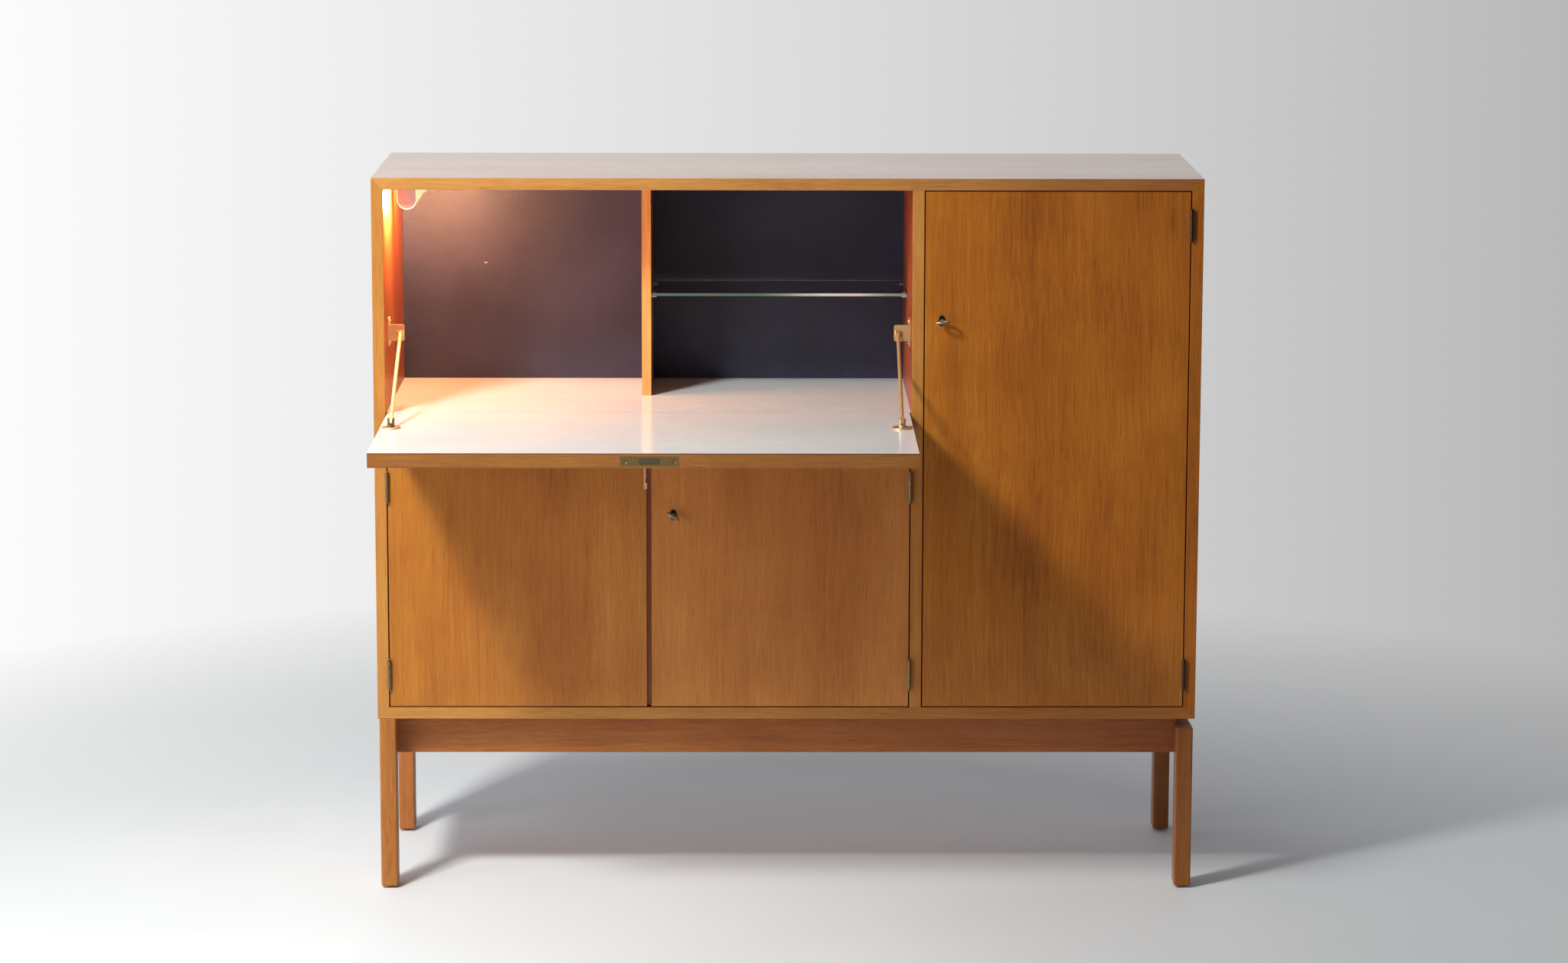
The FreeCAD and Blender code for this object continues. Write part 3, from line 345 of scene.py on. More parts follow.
def wood(name, tones, grain, seed, masks=(), finish=VARNISH, spread=0.15, red=0.0):
    """Wood with bands, pores and a finish.

    Each mask gives other tones to the faces that look one way, and these may fade in. A wider spread
    calms the figure, and red is the most that a blotch reddens it.
    """
    m = Material(name)
    place = wavy_place(m, grain, seed)
    value = wood_value(m, grain, seed, place)
    low, high = FIGURE_MIDDLE - spread, FIGURE_MIDDLE + spread
    colour = m.ramp(value, tones, low, high)
    for way, other_tones, *fade in masks:
        share = m.facing(*WAYS[way])
        if fade:
            along, start, end = fade
            share = m.math("MULTIPLY", share, m.ranged(m.parts(m.place)[along], start, end))
        colour = m.mix(share, colour, m.ramp(value, other_tones, low, high))
    blotches = m.noise(stretched(grain, *BLOTCH_GRAIN), seed + BLOTCH_SEED)
    colour = m.mix(m.ranged(blotches, *BLOTCH_RANGE, 0.0, red), colour, RED_BLOTCH)
    pores = m.ranged(fine_marks(m, grain, PORE_GRAIN, seed + PORE_SEED, place), *PORE_RANGE)
    m.feed("Base Color", m.mix(m.math("MULTIPLY", pores, PORE_SHARE), colour, PORE_TONE))
    smooth, dull = finish["rough"]
    m.feed("Roughness", m.ranged(value, *FINISH_RANGE, dull, smooth))
    m.set(Coat_Weight=finish["coat"], Coat_Roughness=COAT_ROUGHNESS, Coat_IOR=COAT_IOR)
    m.set(Specular_IOR_Level=finish["gloss"])
    fibres = fine_marks(m, grain, FIBRE_GRAIN, seed + FIBRE_SEED, place)
    m.bump(m.math("SUBTRACT", fibres, pores), *FIBRE_BUMP)
    return m.data


# Sheets in the bar

LAMINATE_TONES = [(0.79, 0.86, 0.935), (0.85, 0.92, 0.985)]
LAMINATE_CORE = (0.05, 0.03, 0.02, 1.0)
LAMINATE_CLOUD_SCALE = 7.0
LAMINATE_FACING = (0.4, 0.6)
LAMINATE_RUB_SCALE = (40.0, 260.0, 40.0)
LAMINATE_RUB_RANGE = (0.35, 0.75)
LAMINATE_ROUGHNESS = (0.1, 0.24)
LAMINATE_WAVE_SCALE = 160.0
LAMINATE_WAVE_BUMP = (0.02, 0.0006)

LINING_TONES = [(0.009, 0.0105, 0.029), (0.02, 0.0225, 0.059), (0.04, 0.043, 0.104)]
LINING_TONE_RANGE = (0.36, 0.64)
LINING_CLOUD_SCALE = 5.0
LINING_CLOUD_SHARE = 0.4
PEBBLE_SCALE = (520.0, 520.0, 700.0)
PEBBLE_SHARE = 0.6
PEBBLE_ROUGHNESS = (0.28, 0.44)
PEBBLE_BUMP = (0.8, 0.001)

# Chipped spot on the lining, longer than high
CHIP_MIDDLE = (-0.533, 0.382, 1.036)
CHIP_RADII = (0.0035, 0.01, 0.0013)
CHIP_TONE = (0.4, 0.33, 0.3, 1.0)
CHIP_RAGGED_SCALE = (800.0, 800.0, 1500.0)
CHIP_RAGGED_SHARE = 1.8
CHIP_EDGE = (1.5, 2.0)


def white_laminate():
    """Glossy white sheet with faint clouds and rubbed marks, and a dark core at its edges."""
    m = Material("white_laminate")
    clouds = m.ramp(m.noise(LAMINATE_CLOUD_SCALE, seed=2.0, detail=4.0), LAMINATE_TONES)
    on_top = m.ranged(m.parts(m.normal)["Z"], *LAMINATE_FACING)
    m.feed("Base Color", m.mix(on_top, LAMINATE_CORE, clouds))
    rubbed = m.noise(LAMINATE_RUB_SCALE, seed=5.0, detail=3.0)
    m.feed("Roughness", m.ranged(rubbed, *LAMINATE_RUB_RANGE, *LAMINATE_ROUGHNESS))
    m.set(Specular_IOR_Level=0.5)
    m.bump(m.noise(LAMINATE_WAVE_SCALE, seed=3.0), *LAMINATE_WAVE_BUMP)
    return m.data


def dark_lining():
    """Dark blue-violet lining with a fine pebbled surface, and one small chip."""
    m = Material("dark_lining")
    pebbles = m.noise(PEBBLE_SCALE, seed=1.0, detail=3.0, roughness=0.6)
    clouds = m.noise(LINING_CLOUD_SCALE, seed=4.0, detail=3.0)
    uneven = m.total((clouds, LINING_CLOUD_SHARE), (pebbles, PEBBLE_SHARE))
    tone = m.ramp(uneven, LINING_TONES, *LINING_TONE_RANGE)
    ragged = m.noise(CHIP_RAGGED_SCALE, seed=2.0)
    from_chip = m.total((m.radii_from(CHIP_MIDDLE, CHIP_RADII), 1.0), (ragged, CHIP_RAGGED_SHARE))
    m.feed("Base Color", m.mix(m.ranged(from_chip, *CHIP_EDGE), CHIP_TONE, tone))
    m.feed("Roughness", m.ranged(pebbles, *NOISE_RANGE, *PEBBLE_ROUGHNESS))
    m.set(Specular_IOR_Level=0.5)
    m.bump(pebbles, *PEBBLE_BUMP)
    return m.data


# Metals

PATCH_SCALE = (420.0, 420.0, 260.0)
PATCH_DETAIL = 5.0
PATCH_ROUGHNESS = 0.7
RUB_SCALE = (2200.0, 300.0, 300.0)
RUB_BUMP = (0.06, 0.0002)
DULL_ROUGHER = 0.2

# Where dull patches start and are full, and how far wear lowers these
DULL_START = 0.7
DULL_START_BY_WEAR = 0.5
DULL_END = 0.95
DULL_END_BY_WEAR = 0.3

HINGE_TONES = [(0.4, 0.29, 0.15), (0.14, 0.1, 0.06)]
# Painted shade: darker tones for the tall door's hinges, and where along X they begin
SHADED_HINGE_TONES = [(0.15, 0.09, 0.065), (0.045, 0.024, 0.02)]
SHADED_HINGE_FROM = (0.3, 0.6)
HINGE_ROUGHNESS = (0.34, 0.54)
HINGE_SEED = 5.0

FOOT_TONES = [(0.62, 0.44, 0.24), (0.88, 0.68, 0.42)]
# Painted shade: dark tones for the left foot above its flange
SHADED_FOOT_TONES = [(0.11, 0.075, 0.045), (0.26, 0.18, 0.1)]
FOOT_PATCH_SCALE = 500.0
BETWEEN_FEET = (-0.1, 0.1)
FOOT_ROUGHNESS = (0.42, 0.28)
FOOT_METALLIC = 0.85

# Heights between which the flange of a stay's foot ends
FLANGE_TOP = (0.8309, 0.8314)

# Half sizes and middles of the oval escutcheons
ESCUTCHEON_RADII = (0.0065, 0.01, 0.0105)
ESCUTCHEON_MIDDLES = {"right_door": (-0.1935, -0.02, 0.6555), "tall_door": (0.2605, -0.02, 0.989)}
ESCUTCHEON_TONE = (0.03, 0.02, 0.012, 1.0)
# Painted highlight: the lighter tone of the rim, and where it begins
ESCUTCHEON_RIM_HIGHLIGHT = (0.42, 0.33, 0.2, 1.0)
ESCUTCHEON_RIM = (0.85, 0.95)
ESCUTCHEON_RIM_NOISE_SCALE = 900.0
ESCUTCHEON_RIM_NOISE_SHARE = 0.1
ESCUTCHEON_ROUGHNESS = (0.5, 0.3)


def worn_patches(m, seed):
    return m.noise(PATCH_SCALE, seed, PATCH_DETAIL, PATCH_ROUGHNESS)


def rub(m, seed):
    """Fine rubbed lines."""
    m.bump(m.noise(RUB_SCALE, seed + 1.0), *RUB_BUMP)


def metal(name, bright, dull, worn, rough, seed, metallic=1.0):
    """Worn metal: dull patches over a brighter ground, more of them the more it is worn."""
    m = Material(name)
    start = DULL_START - DULL_START_BY_WEAR * worn
    end = DULL_END - DULL_END_BY_WEAR * worn
    dulled = m.ranged(worn_patches(m, seed), start, end)
    m.feed("Base Color", m.mix(dulled, (*bright, 1.0), (*dull, 1.0)))
    m.feed("Roughness", m.ranged(dulled, 0.0, 1.0, rough, rough + DULL_ROUGHER))
    m.set(Metallic=metallic)
    rub(m, seed)
    return m.data


def hinge_brass():
    """Brass of the hinges, painted darker on the tall door's, as painted shade."""
    m = Material("hinge_brass")
    patches = worn_patches(m, HINGE_SEED)
    on_tall_door = m.ranged(m.parts(m.place)["X"], *SHADED_HINGE_FROM)
    pale, dark = m.ramp(patches, HINGE_TONES), m.ramp(patches, SHADED_HINGE_TONES)
    m.feed("Base Color", m.mix(on_tall_door, pale, dark))
    m.feed("Roughness", m.ranged(patches, *NOISE_RANGE, *HINGE_ROUGHNESS))
    m.set(Metallic=1.0)
    rub(m, HINGE_SEED)
    return m.data


def foot_brass():
    """Brass of the stays' feet: the left one is painted dark above its flange, as painted shade."""
    m = Material("foot_brass")
    patches = m.noise(FOOT_PATCH_SCALE, seed=2.0, detail=4.0)
    place = m.parts(m.place)
    on_left = m.ranged(place["X"], *BETWEEN_FEET, 1.0, 0.0)
    painted_shade = m.math("MULTIPLY", on_left, m.ranged(place["Z"], *FLANGE_TOP))
    bright, dark = m.ramp(patches, FOOT_TONES), m.ramp(patches, SHADED_FOOT_TONES)
    m.feed("Base Color", m.mix(painted_shade, bright, dark))
    m.feed("Roughness", m.ranged(patches, *NOISE_RANGE, *FOOT_ROUGHNESS))
    m.set(Metallic=FOOT_METALLIC)
    return m.data


def escutcheon_brass(name, middle):
    """Blackened oval inlay, with a lighter rim that is a painted highlight."""
    m = Material(name)
    # Noise that makes the rim's painted highlight uneven
    wear = m.noise(ESCUTCHEON_RIM_NOISE_SCALE, seed=1.0)
    outward = m.total((m.radii_from(middle, ESCUTCHEON_RADII), 1.0), (wear, ESCUTCHEON_RIM_NOISE_SHARE))
    rim = m.ranged(outward, *ESCUTCHEON_RIM)
    m.feed("Base Color", m.mix(rim, ESCUTCHEON_TONE, ESCUTCHEON_RIM_HIGHLIGHT))
    m.feed("Roughness", m.ranged(rim, 0.0, 1.0, *ESCUTCHEON_ROUGHNESS))
    m.set(Metallic=1.0)
    return m.data


HINGE_BRASS = hinge_brass()
BRIGHT_BRASS = metal(
    "brass", (0.86, 0.55, 0.29), (0.6, 0.34, 0.16), worn=0.2, rough=0.3, seed=1.0, metallic=0.25)
AGED_BRASS = metal(
    "aged_brass", (0.56, 0.39, 0.16), (0.26, 0.175, 0.075), worn=0.6, rough=0.36, seed=2.0)
KEY_BRASS = metal(
    "key_brass", (0.5, 0.42, 0.29), (0.18, 0.135, 0.085), worn=0.6, rough=0.36, seed=10.0, metallic=0.8)
LOCK_BRASS = metal(
    "lock_brass", (0.5, 0.345, 0.14), (0.23, 0.15, 0.06), worn=0.6, rough=0.36, seed=4.0)
# Lit and shaded copies of the stays' brass: the left stay paler, as painted lamp light, and the right stay
# darker gold, as painted shade
LIT_PALE_BRASS = metal(
    "lit_pale_brass", (0.95, 0.68, 0.34), (0.72, 0.46, 0.2), worn=0.3, rough=0.36, seed=6.0, metallic=0.2)
SHADED_GOLD_BRASS = metal(
    "shaded_gold_brass", (0.62, 0.42, 0.2), (0.34, 0.21, 0.09), worn=0.4, rough=0.36, seed=9.0, metallic=0.45)
BRONZE = metal("bronze", (0.3, 0.24, 0.16), (0.09, 0.07, 0.05), worn=0.7, rough=0.4, seed=8.0)
STEEL = metal("steel", (0.6, 0.57, 0.53), (0.25, 0.21, 0.17), worn=0.4, rough=0.3, seed=3.0)
NICKEL = metal(
    "nickel", (0.8, 0.68, 0.62), (0.56, 0.46, 0.41), worn=0.3, rough=0.45, seed=7.0, metallic=0.3)


# Glass, lamp and plastic

GLASS_TONE = (0.95, 0.985, 0.965, 1.0)
GLASS_EDGE_TONE = (0.22, 0.4, 0.34, 1.0)
GLASS_EDGE_ROUGHNESS = 0.35
GLASS_EDGE_CLEARNESS = (0.75, 0.35)
GLASS_IOR = 1.5
GLASS_FACING = (0.5, 0.8)
SMEAR_SCALE = (25.0, 60.0, 25.0)
SMEAR_RANGE = (0.5, 0.8)
SMEAR_ROUGHNESS = 0.05

# Ground front edge of the glass shelf: where the stretch painted pale as painted light begins and ends
GLASS_LIT_TONE = (0.8, 0.84, 0.74, 1.0)
GLASS_LIT_START = (-0.03, 0.08)
GLASS_LIT_END = (0.14, 0.19)
GLASS_LIT_REST = 0.4
GLASS_LIT_RAGGED_SCALE = 60.0
GLASS_LIT_RAGGED_SHARE = 0.03

LAMP_CAP_TONES = [(0.5, 0.42, 0.4), (0.6, 0.53, 0.5)]
LAMP_CAP_GLOW = (1.0, 0.55, 0.4, 1.0)
LAMP_CAP_STRENGTH = 0.1
LAMP_CAP_SCALE = 60.0
OPAL_TONES = [(0.9, 0.78, 0.6), (0.95, 0.88, 0.76)]
OPAL_GLOW = [(1.0, 0.55, 0.24), (1.0, 0.68, 0.38)]
OPAL_SCALE = (30.0, 12.0, 30.0)
COVER_STRENGTH = 0.8
TUBE_STRENGTH = 6.0

GLIDE_TONES = [(0.03, 0.02, 0.014), (0.075, 0.05, 0.035)]
GLIDE_SCALE = 240.0
GLIDE_ROUGHNESS = (0.45, 0.7)
GLIDE_BUMP = (0.2, 0.0006)


def clear_glass():
    """Clear glass with faint smears, and greenish edges; along one stretch the edge is painted pale and
    less clear, as painted light.
    """
    m = Material("clear_glass")
    polished = m.ranged(m.math("ABSOLUTE", m.parts(m.normal)["Z"]), *GLASS_FACING)
    ragged = m.noise(GLASS_LIT_RAGGED_SCALE, seed=3.0)
    along = m.total((m.parts(m.place)["X"], 1.0), (ragged, GLASS_LIT_RAGGED_SHARE))
    lit_stretch = m.math("MULTIPLY", m.ranged(along, *GLASS_LIT_START), m.ranged(along, *GLASS_LIT_END, 1.0, GLASS_LIT_REST))
    edge = m.mix(lit_stretch, GLASS_EDGE_TONE, GLASS_LIT_TONE)
    m.feed("Base Color", m.mix(polished, edge, GLASS_TONE))
    smears = m.ranged(m.noise(SMEAR_SCALE, seed=1.0, detail=3.0), *SMEAR_RANGE, 0.0, SMEAR_ROUGHNESS)
    m.feed("Roughness", m.ranged(polished, 0.0, 1.0, GLASS_EDGE_ROUGHNESS, smears))
    edge_clearness = m.ranged(lit_stretch, 0.0, 1.0, *GLASS_EDGE_CLEARNESS)
    m.feed("Transmission Weight", m.ranged(polished, 0.0, 1.0, edge_clearness, 1.0))
    m.set(IOR=GLASS_IOR)
    return m.data


def lamp_cap():
    """White plastic of the lamp's ends, a little lit from within."""
    m = Material("lamp_cap")
    m.feed("Base Color", m.ramp(m.noise(LAMP_CAP_SCALE, seed=1.0), LAMP_CAP_TONES))
    m.set(Roughness=0.35, Emission_Color=LAMP_CAP_GLOW, Emission_Strength=LAMP_CAP_STRENGTH)
    return m.data


def lamp_glow(name, strength):
    """Lit opal cover, unevenly bright."""
    m = Material(name)
    uneven = m.noise(OPAL_SCALE, seed=2.0)
    m.feed("Base Color", m.ramp(uneven, OPAL_TONES))
    m.feed("Emission Color", m.ramp(uneven, OPAL_GLOW))
    m.set(Roughness=0.3, Emission_Strength=strength)
    return m.data


def dark_plastic():
    """Scuffed dark plastic of the glides under the feet."""
    m = Material("glide_plastic")
    grime = m.noise(GLIDE_SCALE, seed=1.0, detail=3.0)
    m.feed("Base Color", m.ramp(grime, GLIDE_TONES))
    m.feed("Roughness", m.ranged(grime, *NOISE_RANGE, *GLIDE_ROUGHNESS))
    m.bump(grime, *GLIDE_BUMP)
    return m.data


# Materials of the CAD nodes

def dress(material, *names):
    """Give CAD nodes one material."""
    for name in names:
        slots = NODES[name].data.materials
        slots.clear()
        slots.append(material)


def dress_carcass():
    """Boards of the carcass, with lipped front edges and other tones inside; some tones are painted light
    and shade, on the top and bottom lipping, the partition and the rear of the left side's inner face.
    """
    lipping = ("front", EDGE_TONES)
    lit_lipping = ("front", LIT_EDGE_TONES)
    # Top and bottom lipping: painted light on the left, painted shade fading in to the right
    top_masks = [lit_lipping, ("front", SHADED_EDGE_TONES, *TOP_EDGE_SHADE_FADE)]
    dress(wood("top_wood", DOOR_TONES, "X", 1.0, top_masks, POLISH), "top_panel")
    bottom_masks = [lit_lipping, ("front", SHADED_EDGE_TONES, *BOTTOM_EDGE_SHADE_FADE)]
    dress(wood("bottom_wood", DOOR_TONES, "X", 2.0, bottom_masks), "bottom_panel")
    dress(wood("shelf_wood", DOOR_TONES, "X", 3.0, [lipping]), "shelf_panel")
    left_masks = [lipping, ("right", LEFT_INNER_TONES), ("right", SHADED_REAR_INNER_TONES, *REAR_INNER_SHADE_FADE)]
    dress(wood("left_side_wood", DOOR_TONES, "Z", 4.0, left_masks, spread=0.2), "left_side_panel")
    right_masks = [("left", INNER_TONES)]
    dress(wood("right_side_wood", TALL_TONES, "Z", 5.0, right_masks), "right_side_panel")
    # Partition: painted shade on its face in the bar
    partition_masks = [lipping, ("front", DOOR_TONES, *LOW_EDGE_FADE), ("right", INNER_TONES)]
    dress(wood("partition_wood", SHADED_PARTITION_TONES, "Z", 6.0, partition_masks), "partition_panel")
    divider_masks = [("front", LAMPLIT_DIVIDER_TONES)]
    dress(wood("divider_wood", DIVIDER_SIDE_TONES, "Z", 7.0, divider_masks), "bar_divider")
    dress(wood("inner_shelf_wood", INNER_TONES, "X", 22.0), "cupboard_shelves")
    dress(wood("back_ply", PLY_TONES, "Z", 23.0, finish=BARE_PLY), "back_panel")


def dress_fronts():
    """Doors and flap."""
    # Left door: painted light at its left, painted shade on its recessed lip
    left_masks = [("front", LIT_GOLD_DOOR_TONES, *LIT_DOOR_FADE), ("front", SHADED_LIP_TONES, *LIP_SHADE_FADE)]
    left_door = wood("left_door_wood", DOOR_TONES, "Z", 8.0, left_masks, spread=0.17, red=0.3)
    dress(left_door, "left_door_panel")
    # Right door: paler, bluer tones as painted shade and reflection
    right_door = wood("right_door_wood", SHADED_RIGHT_DOOR_TONES, "Z", 11.0, spread=0.19, red=0.35)
    dress(right_door, "right_door_panel")
    # Tall door: painted shade low down
    tall_masks = [("front", SHADED_LOW_TALL_TONES, *LOW_TALL_SHADE_FADE)]
    dress(wood("tall_door_wood", TALL_TONES, "Z", 12.0, tall_masks, spread=0.135), "tall_door_panel")
    dress(wood("flap_wood", FLAP_TONES, "X", 13.0, [("under", DOOR_TONES)]), "flap_panel")


def dress_base():
    """Legs, aprons, rails and what is under them, and the rough board under the bar's laminate."""
    apron_masks = [("front", SHADED_BASE_TONES, *APRON_SHADE_FADE)]
    dress(wood("apron_wood", BASE_TONES, "X", 14.0, apron_masks), "front_apron", "rear_apron")
    dress(wood("rail_wood", BASE_TONES, "Y", 15.0), "left_base_rail", "right_base_rail")
    # Painted light and shade: the front left leg lit, the right legs shaded
    leg_tones = {
        "front_left": LIT_LEG_TONES,
        "front_right": SHADED_LEG_TONES,
        "rear_left": BASE_TONES,
        "rear_right": SHADED_LEG_TONES,
    }
    for index, (corner, tones) in enumerate(leg_tones.items()):
        dress(wood(corner + "_leg_wood", tones, "Z", 16.0 + index), corner + "_leg")
    block_wood = wood("block_wood", PLY_TONES, "X", 21.0, finish=BARE)
    dress(block_wood, "base_corner_blocks", "bar_floor_board")
    dress(dark_plastic(), "foot_glides")


def dress_bar():
    """Sheets, glass and lamp of the bar."""
    dress(white_laminate(), "bar_floor_laminate", "flap_laminate")
    dress(dark_lining(), "bar_back_lining")
    dress(clear_glass(), "glass_shelf")
    dress(lamp_cap(), "lamp_housing")
    dress(lamp_glow("lamp_cover", COVER_STRENGTH), "lamp_diffuser")
    dress(lamp_glow("lamp_tube", TUBE_STRENGTH), "lamp_tube")


def dress_metal():
    """Stays, hinges, locks, keys, bolts, pins and screws."""
    # Painted light on the left stay, painted shade on the right stay
    dress(LIT_PALE_BRASS, "left_stay_rod", "left_stay_bracket", "bracket_screws")
    dress(SHADED_GOLD_BRASS, "right_stay_rod", "right_stay_bracket")
    dress(BRIGHT_BRASS, "flush_bolt_plate", "flush_bolt_slider")
    dress(foot_brass(), "stay_feet")
    dress(HINGE_BRASS, "hinge_frame_leaves", "left_door_hinge_leaves", "right_door_hinge_leaves")
    dress(HINGE_BRASS, "tall_door_hinge_leaves")
    dress(LOCK_BRASS, "flap_lock", "flap_lock_screws")
    dress(BRONZE, "flap_lock_bolt")
    dress(AGED_BRASS, "strike_plates", "flap_pivot_plates")
    dress(KEY_BRASS, "right_door_key", "tall_door_key")
    for door, middle in ESCUTCHEON_MIDDLES.items():
        dress(escutcheon_brass(door + "_inlay", middle), door + "_escutcheon")
    dress(NICKEL, "shelf_pins")
    dress(STEEL, "hinge_pins", "flap_pivot_pins", "base_screws")
    dress(STEEL, "right_door_lock", "tall_door_lock", "right_door_lock_bolt", "tall_door_lock_bolt")


# Small fasteners that the solids leave out

# Screw heads: the turn is from one to the next, and the slot's floor is in shares of the height
SCREW_RADIUS = 0.0028
SCREW_HEIGHT = 0.0004
SCREW_TURN = 0.9
SLOT_HALF_WIDTH = 0.0004
SLOT_LEVEL = 0.3
DISC_SIDES = 24
DOME_STEPS = 10

# Rings of the domed head, from its rim to its top, in shares of the radius and the height
DOME_RINGS = [(1.0, 0.0), (0.92, 0.6), (0.8, 1.0)]

# Hinges that carry screws: axis, the door's side of it, and heights
HINGES = {
    "left_door": (-0.679, 1, (0.378, 0.7035)),
    "right_door": (0.209, -1, (0.378, 0.7035)),
    "tall_door": (0.679, -1, (0.378, 1.152)),
}
LEAF_GAP = 0.001
LEAF_MIDDLE_Y = -0.0113
LEAF_SCREW_STEP = 0.016

# Fasteners of the back board: distance from its edge, and spaces between them
NAIL_INSET = 0.004
NAIL_SPACES_ACROSS = 9
NAIL_SPACES_UPRIGHT = 6


def arc(mesh, placed, radius, level, angles):
    """Vertices on an arc about a screw's axis."""
    points = [Vector((radius * math.cos(angle), radius * math.sin(angle), level)) for angle in angles]
    return [mesh.verts.new(placed @ point) for point in points]


def add_screw(mesh, centre, outward, turn):
    """Low slotted screw head: a base disc and two domed halves beside the slot."""
    facing = Vector(outward).to_track_quat("Z", "Y").to_matrix().to_4x4()
    placed = Matrix.Translation(centre) @ facing @ Matrix.Rotation(turn, 4, "Z")
    around = [2 * math.pi * i / DISC_SIDES for i in range(DISC_SIDES)]
    mesh.faces.new(arc(mesh, placed, SCREW_RADIUS, SLOT_LEVEL * SCREW_HEIGHT, around))
    top_radius = DOME_RINGS[-1][0] * SCREW_RADIUS
    first = math.asin(SLOT_HALF_WIDTH / top_radius)
    for side in (0.0, math.pi):
        angles = [side + first + (math.pi - 2 * first) * i / DOME_STEPS for i in range(DOME_STEPS + 1)]
        rows = [arc(mesh, placed, r * SCREW_RADIUS, h * SCREW_HEIGHT, angles) for r, h in DOME_RINGS]
        for lower, upper in zip(rows, rows[1:]):
            for i in range(DOME_STEPS):
                mesh.faces.new((lower[i], lower[i + 1], upper[i + 1], upper[i]))
        mesh.faces.new(rows[-1])
        mesh.faces.new([row[0] for row in rows] + [row[-1] for row in reversed(rows)])


def screw_piece(name, body, material, places):
    """One piece of screw heads that rides on a body."""
    mesh = bmesh.new()
    for index, (centre, outward) in enumerate(places):
        add_screw(mesh, Vector(centre), outward, SCREW_TURN * index)
    bmesh.ops.recalc_face_normals(mesh, faces=mesh.faces[:])
    data = bpy.data.meshes.new(name)
    mesh.to_mesh(data)
    mesh.free()
    data.materials.append(material)
    piece = bpy.data.objects.new(name, data)
    bpy.context.scene.collection.objects.link(piece)
    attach(piece, body)


def leaf_screws(hinge, on_door):
    """Screw places on the leaves of one door's hinges, on the door or on the frame."""
    axis_x, side, middles = hinge
    toward = side if on_door else -side
    x = axis_x + toward * LEAF_GAP
    return [
        ((x, LEAF_MIDDLE_Y, middle + step * LEAF_SCREW_STEP), (-toward, 0.0, 0.0))
        for middle in middles
        for step in (-1, 0, 1)
    ]


def add_hinge_screws():
    """Screws of the doors' leaves, one piece for each door, and of all the frame's leaves."""
    frame_places = []
    for door, hinge in HINGES.items():
        screw_piece(door + "_hinge_screws", door, HINGE_BRASS, leaf_screws(hinge, True))
        frame_places += leaf_screws(hinge, False)
    screw_piece("frame_hinge_screws", "carcass", HINGE_BRASS, frame_places)


def add_back_nails():
    """Fasteners along the edges of the back board, with the same heads as the hinge screws."""
    low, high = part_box("back_panel")
    left, right = low[0] + NAIL_INSET, high[0] - NAIL_INSET
    bottom, top = low[2] + NAIL_INSET, high[2] - NAIL_INSET
    points = []
    for i in range(NAIL_SPACES_ACROSS + 1):
        x = left + (right - left) * i / NAIL_SPACES_ACROSS
        points += [(x, bottom), (x, top)]
    for i in range(1, NAIL_SPACES_UPRIGHT):
        z = bottom + (top - bottom) * i / NAIL_SPACES_UPRIGHT
        points += [(left, z), (right, z)]
    places = [((x, high[1], z), (0.0, 1.0, 0.0)) for x, z in points]
    screw_piece("back_nails", "carcass", STEEL, places)


# Stage, light and camera

def make_floor():
    """Pale floor that fades out far from the cabinet."""
    mesh = bpy.data.meshes.new("floor")
    reach = FLOOR_REACH
    corners = [(-reach, -reach, 0.0), (reach, -reach, 0.0), (reach, reach, 0.0), (-reach, reach, 0.0)]
    mesh.from_pydata(corners, [], [(0, 1, 2, 3)])
    floor = bpy.data.objects.new("floor", mesh)
    bpy.context.scene.collection.objects.link(floor)
    m = Material("floor")
    m.feed("Base Color", m.ramp(m.noise(FLOOR_SCALE, seed=1.0, detail=4.0), FLOOR_TONES))
    m.feed("Alpha", m.ranged(m.length(m.place), *FLOOR_FADE, 1.0, 0.0))
    m.set(Roughness=0.6)
    mesh.materials.append(m.data)


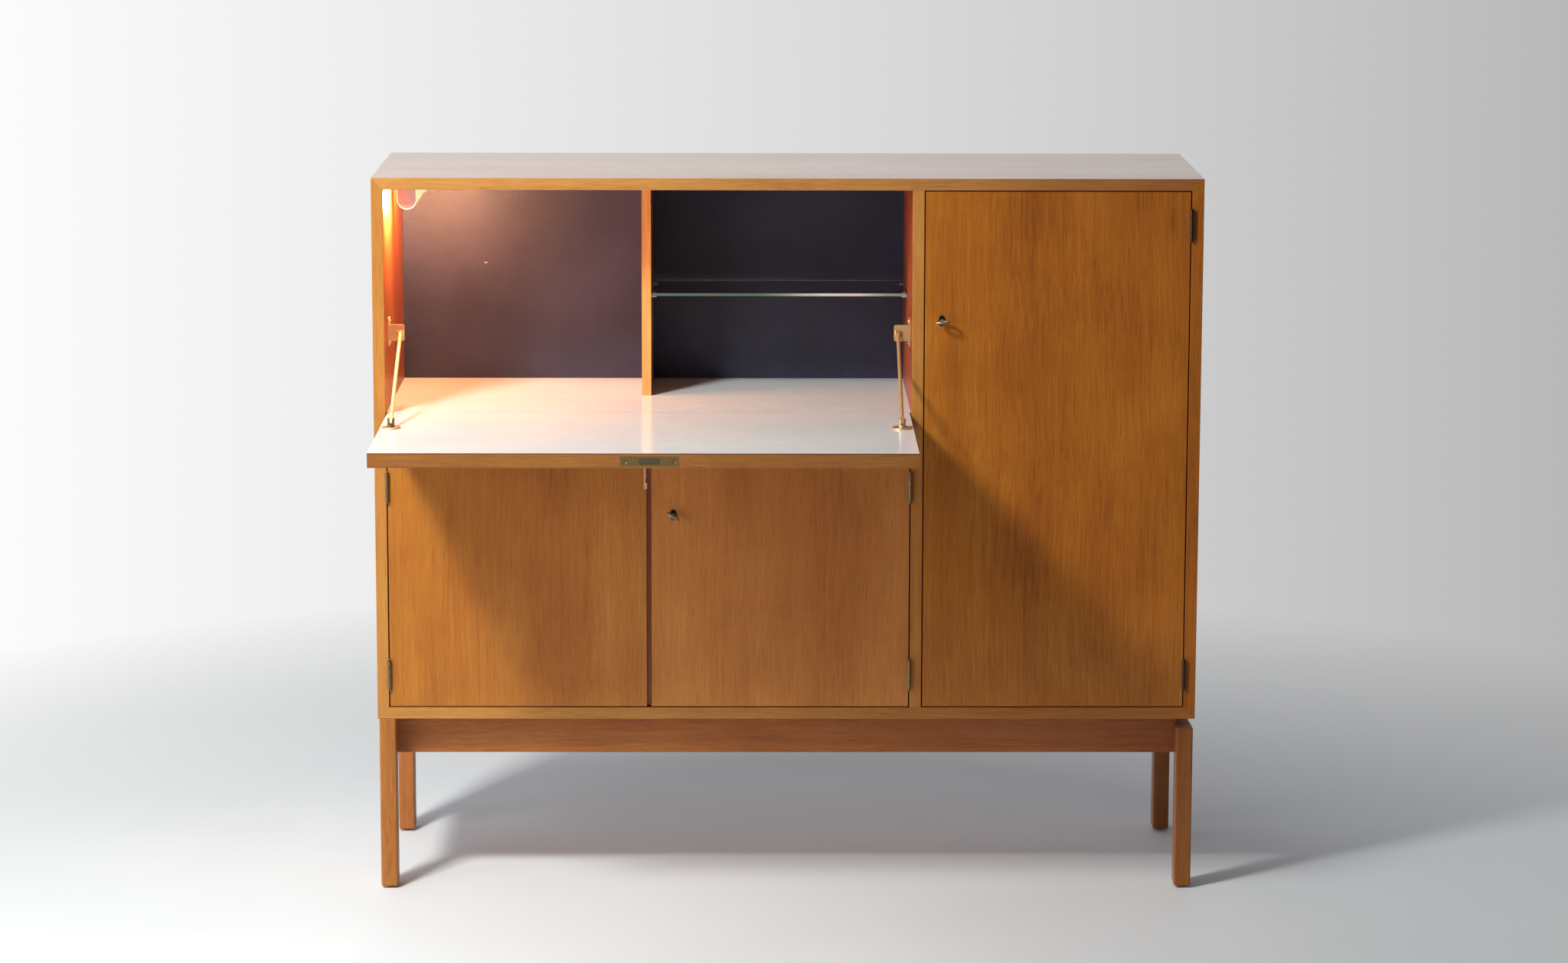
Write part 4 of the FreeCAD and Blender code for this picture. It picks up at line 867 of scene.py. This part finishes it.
def make_world():
    """White studio: bright behind and on the left, dimmer overhead, on the right and in front."""
    world = bpy.data.worlds.new("studio")
    world.use_nodes = True
    bpy.context.scene.world = world
    n = Nodes(world.node_tree)
    direction = n.parts(n.node("ShaderNodeTexCoord").outputs["Generated"])
    strength = 1.0
    for axis, change in WORLD_CHANGES.items():
        strength = n.math("MULTIPLY", strength, n.ranged(direction[axis], *change))
    background = world.node_tree.nodes["Background"]
    n.link(strength, background.inputs["Strength"])
    background.inputs["Color"].default_value = WORLD_COLOUR


def area_light(name, place, target, size, power, colour):
    data = bpy.data.lights.new(name, "AREA")
    data.shape = "RECTANGLE"
    data.size, data.size_y = size
    data.energy = power
    data.color = colour
    light = bpy.data.objects.new(name, data)
    light.location = place
    light.rotation_euler = (Vector(target) - Vector(place)).to_track_quat("-Z", "Y").to_euler()
    bpy.context.scene.collection.objects.link(light)
    return light


def make_lights():
    """Key, fill and the lamp's light, which the camera doesn't see as a surface."""
    key = area_light("key", KEY_PLACE, KEY_TARGET, KEY_SIZE, KEY_POWER, KEY_COLOUR)
    key.data.spread = KEY_SPREAD
    area_light("fill", FILL_PLACE, FILL_TARGET, FILL_SIZE, FILL_POWER, FILL_COLOUR)
    for name, face in LAMP_FACES.items():
        way = Vector(face["way"])
        place = LAMP_MIDDLE + way.normalized() * LAMP_CLEAR
        place.y += face["moved"]
        light = area_light("lamp_" + name, place, place + way, face["size"], face["power"], LAMP_COLOUR)
        light.visible_camera = False


def make_camera():
    data = bpy.data.cameras.new("camera")
    data.sensor_fit = "HORIZONTAL"
    data.sensor_width = CAMERA_SENSOR
    data.lens = CAMERA_LENS
    data.shift_y = CAMERA_SHIFT
    data.clip_end = CAMERA_REACH
    camera = bpy.data.objects.new("camera", data)
    turn = Matrix.Rotation(-CAMERA_YAW, 4, "Z") @ Matrix.Rotation(math.pi / 2 - CAMERA_PITCH, 4, "X")
    camera.matrix_world = Matrix.Translation(CAMERA_PLACE) @ turn @ Matrix.Rotation(CAMERA_ROLL, 4, "Z")
    bpy.context.scene.collection.objects.link(camera)
    bpy.context.scene.camera = camera


dress_carcass()
dress_fronts()
dress_base()
dress_bar()
dress_metal()
add_hinge_screws()
add_back_nails()
make_floor()
make_world()
make_lights()
make_camera()
bpy.context.scene.view_settings.view_transform = "Standard"
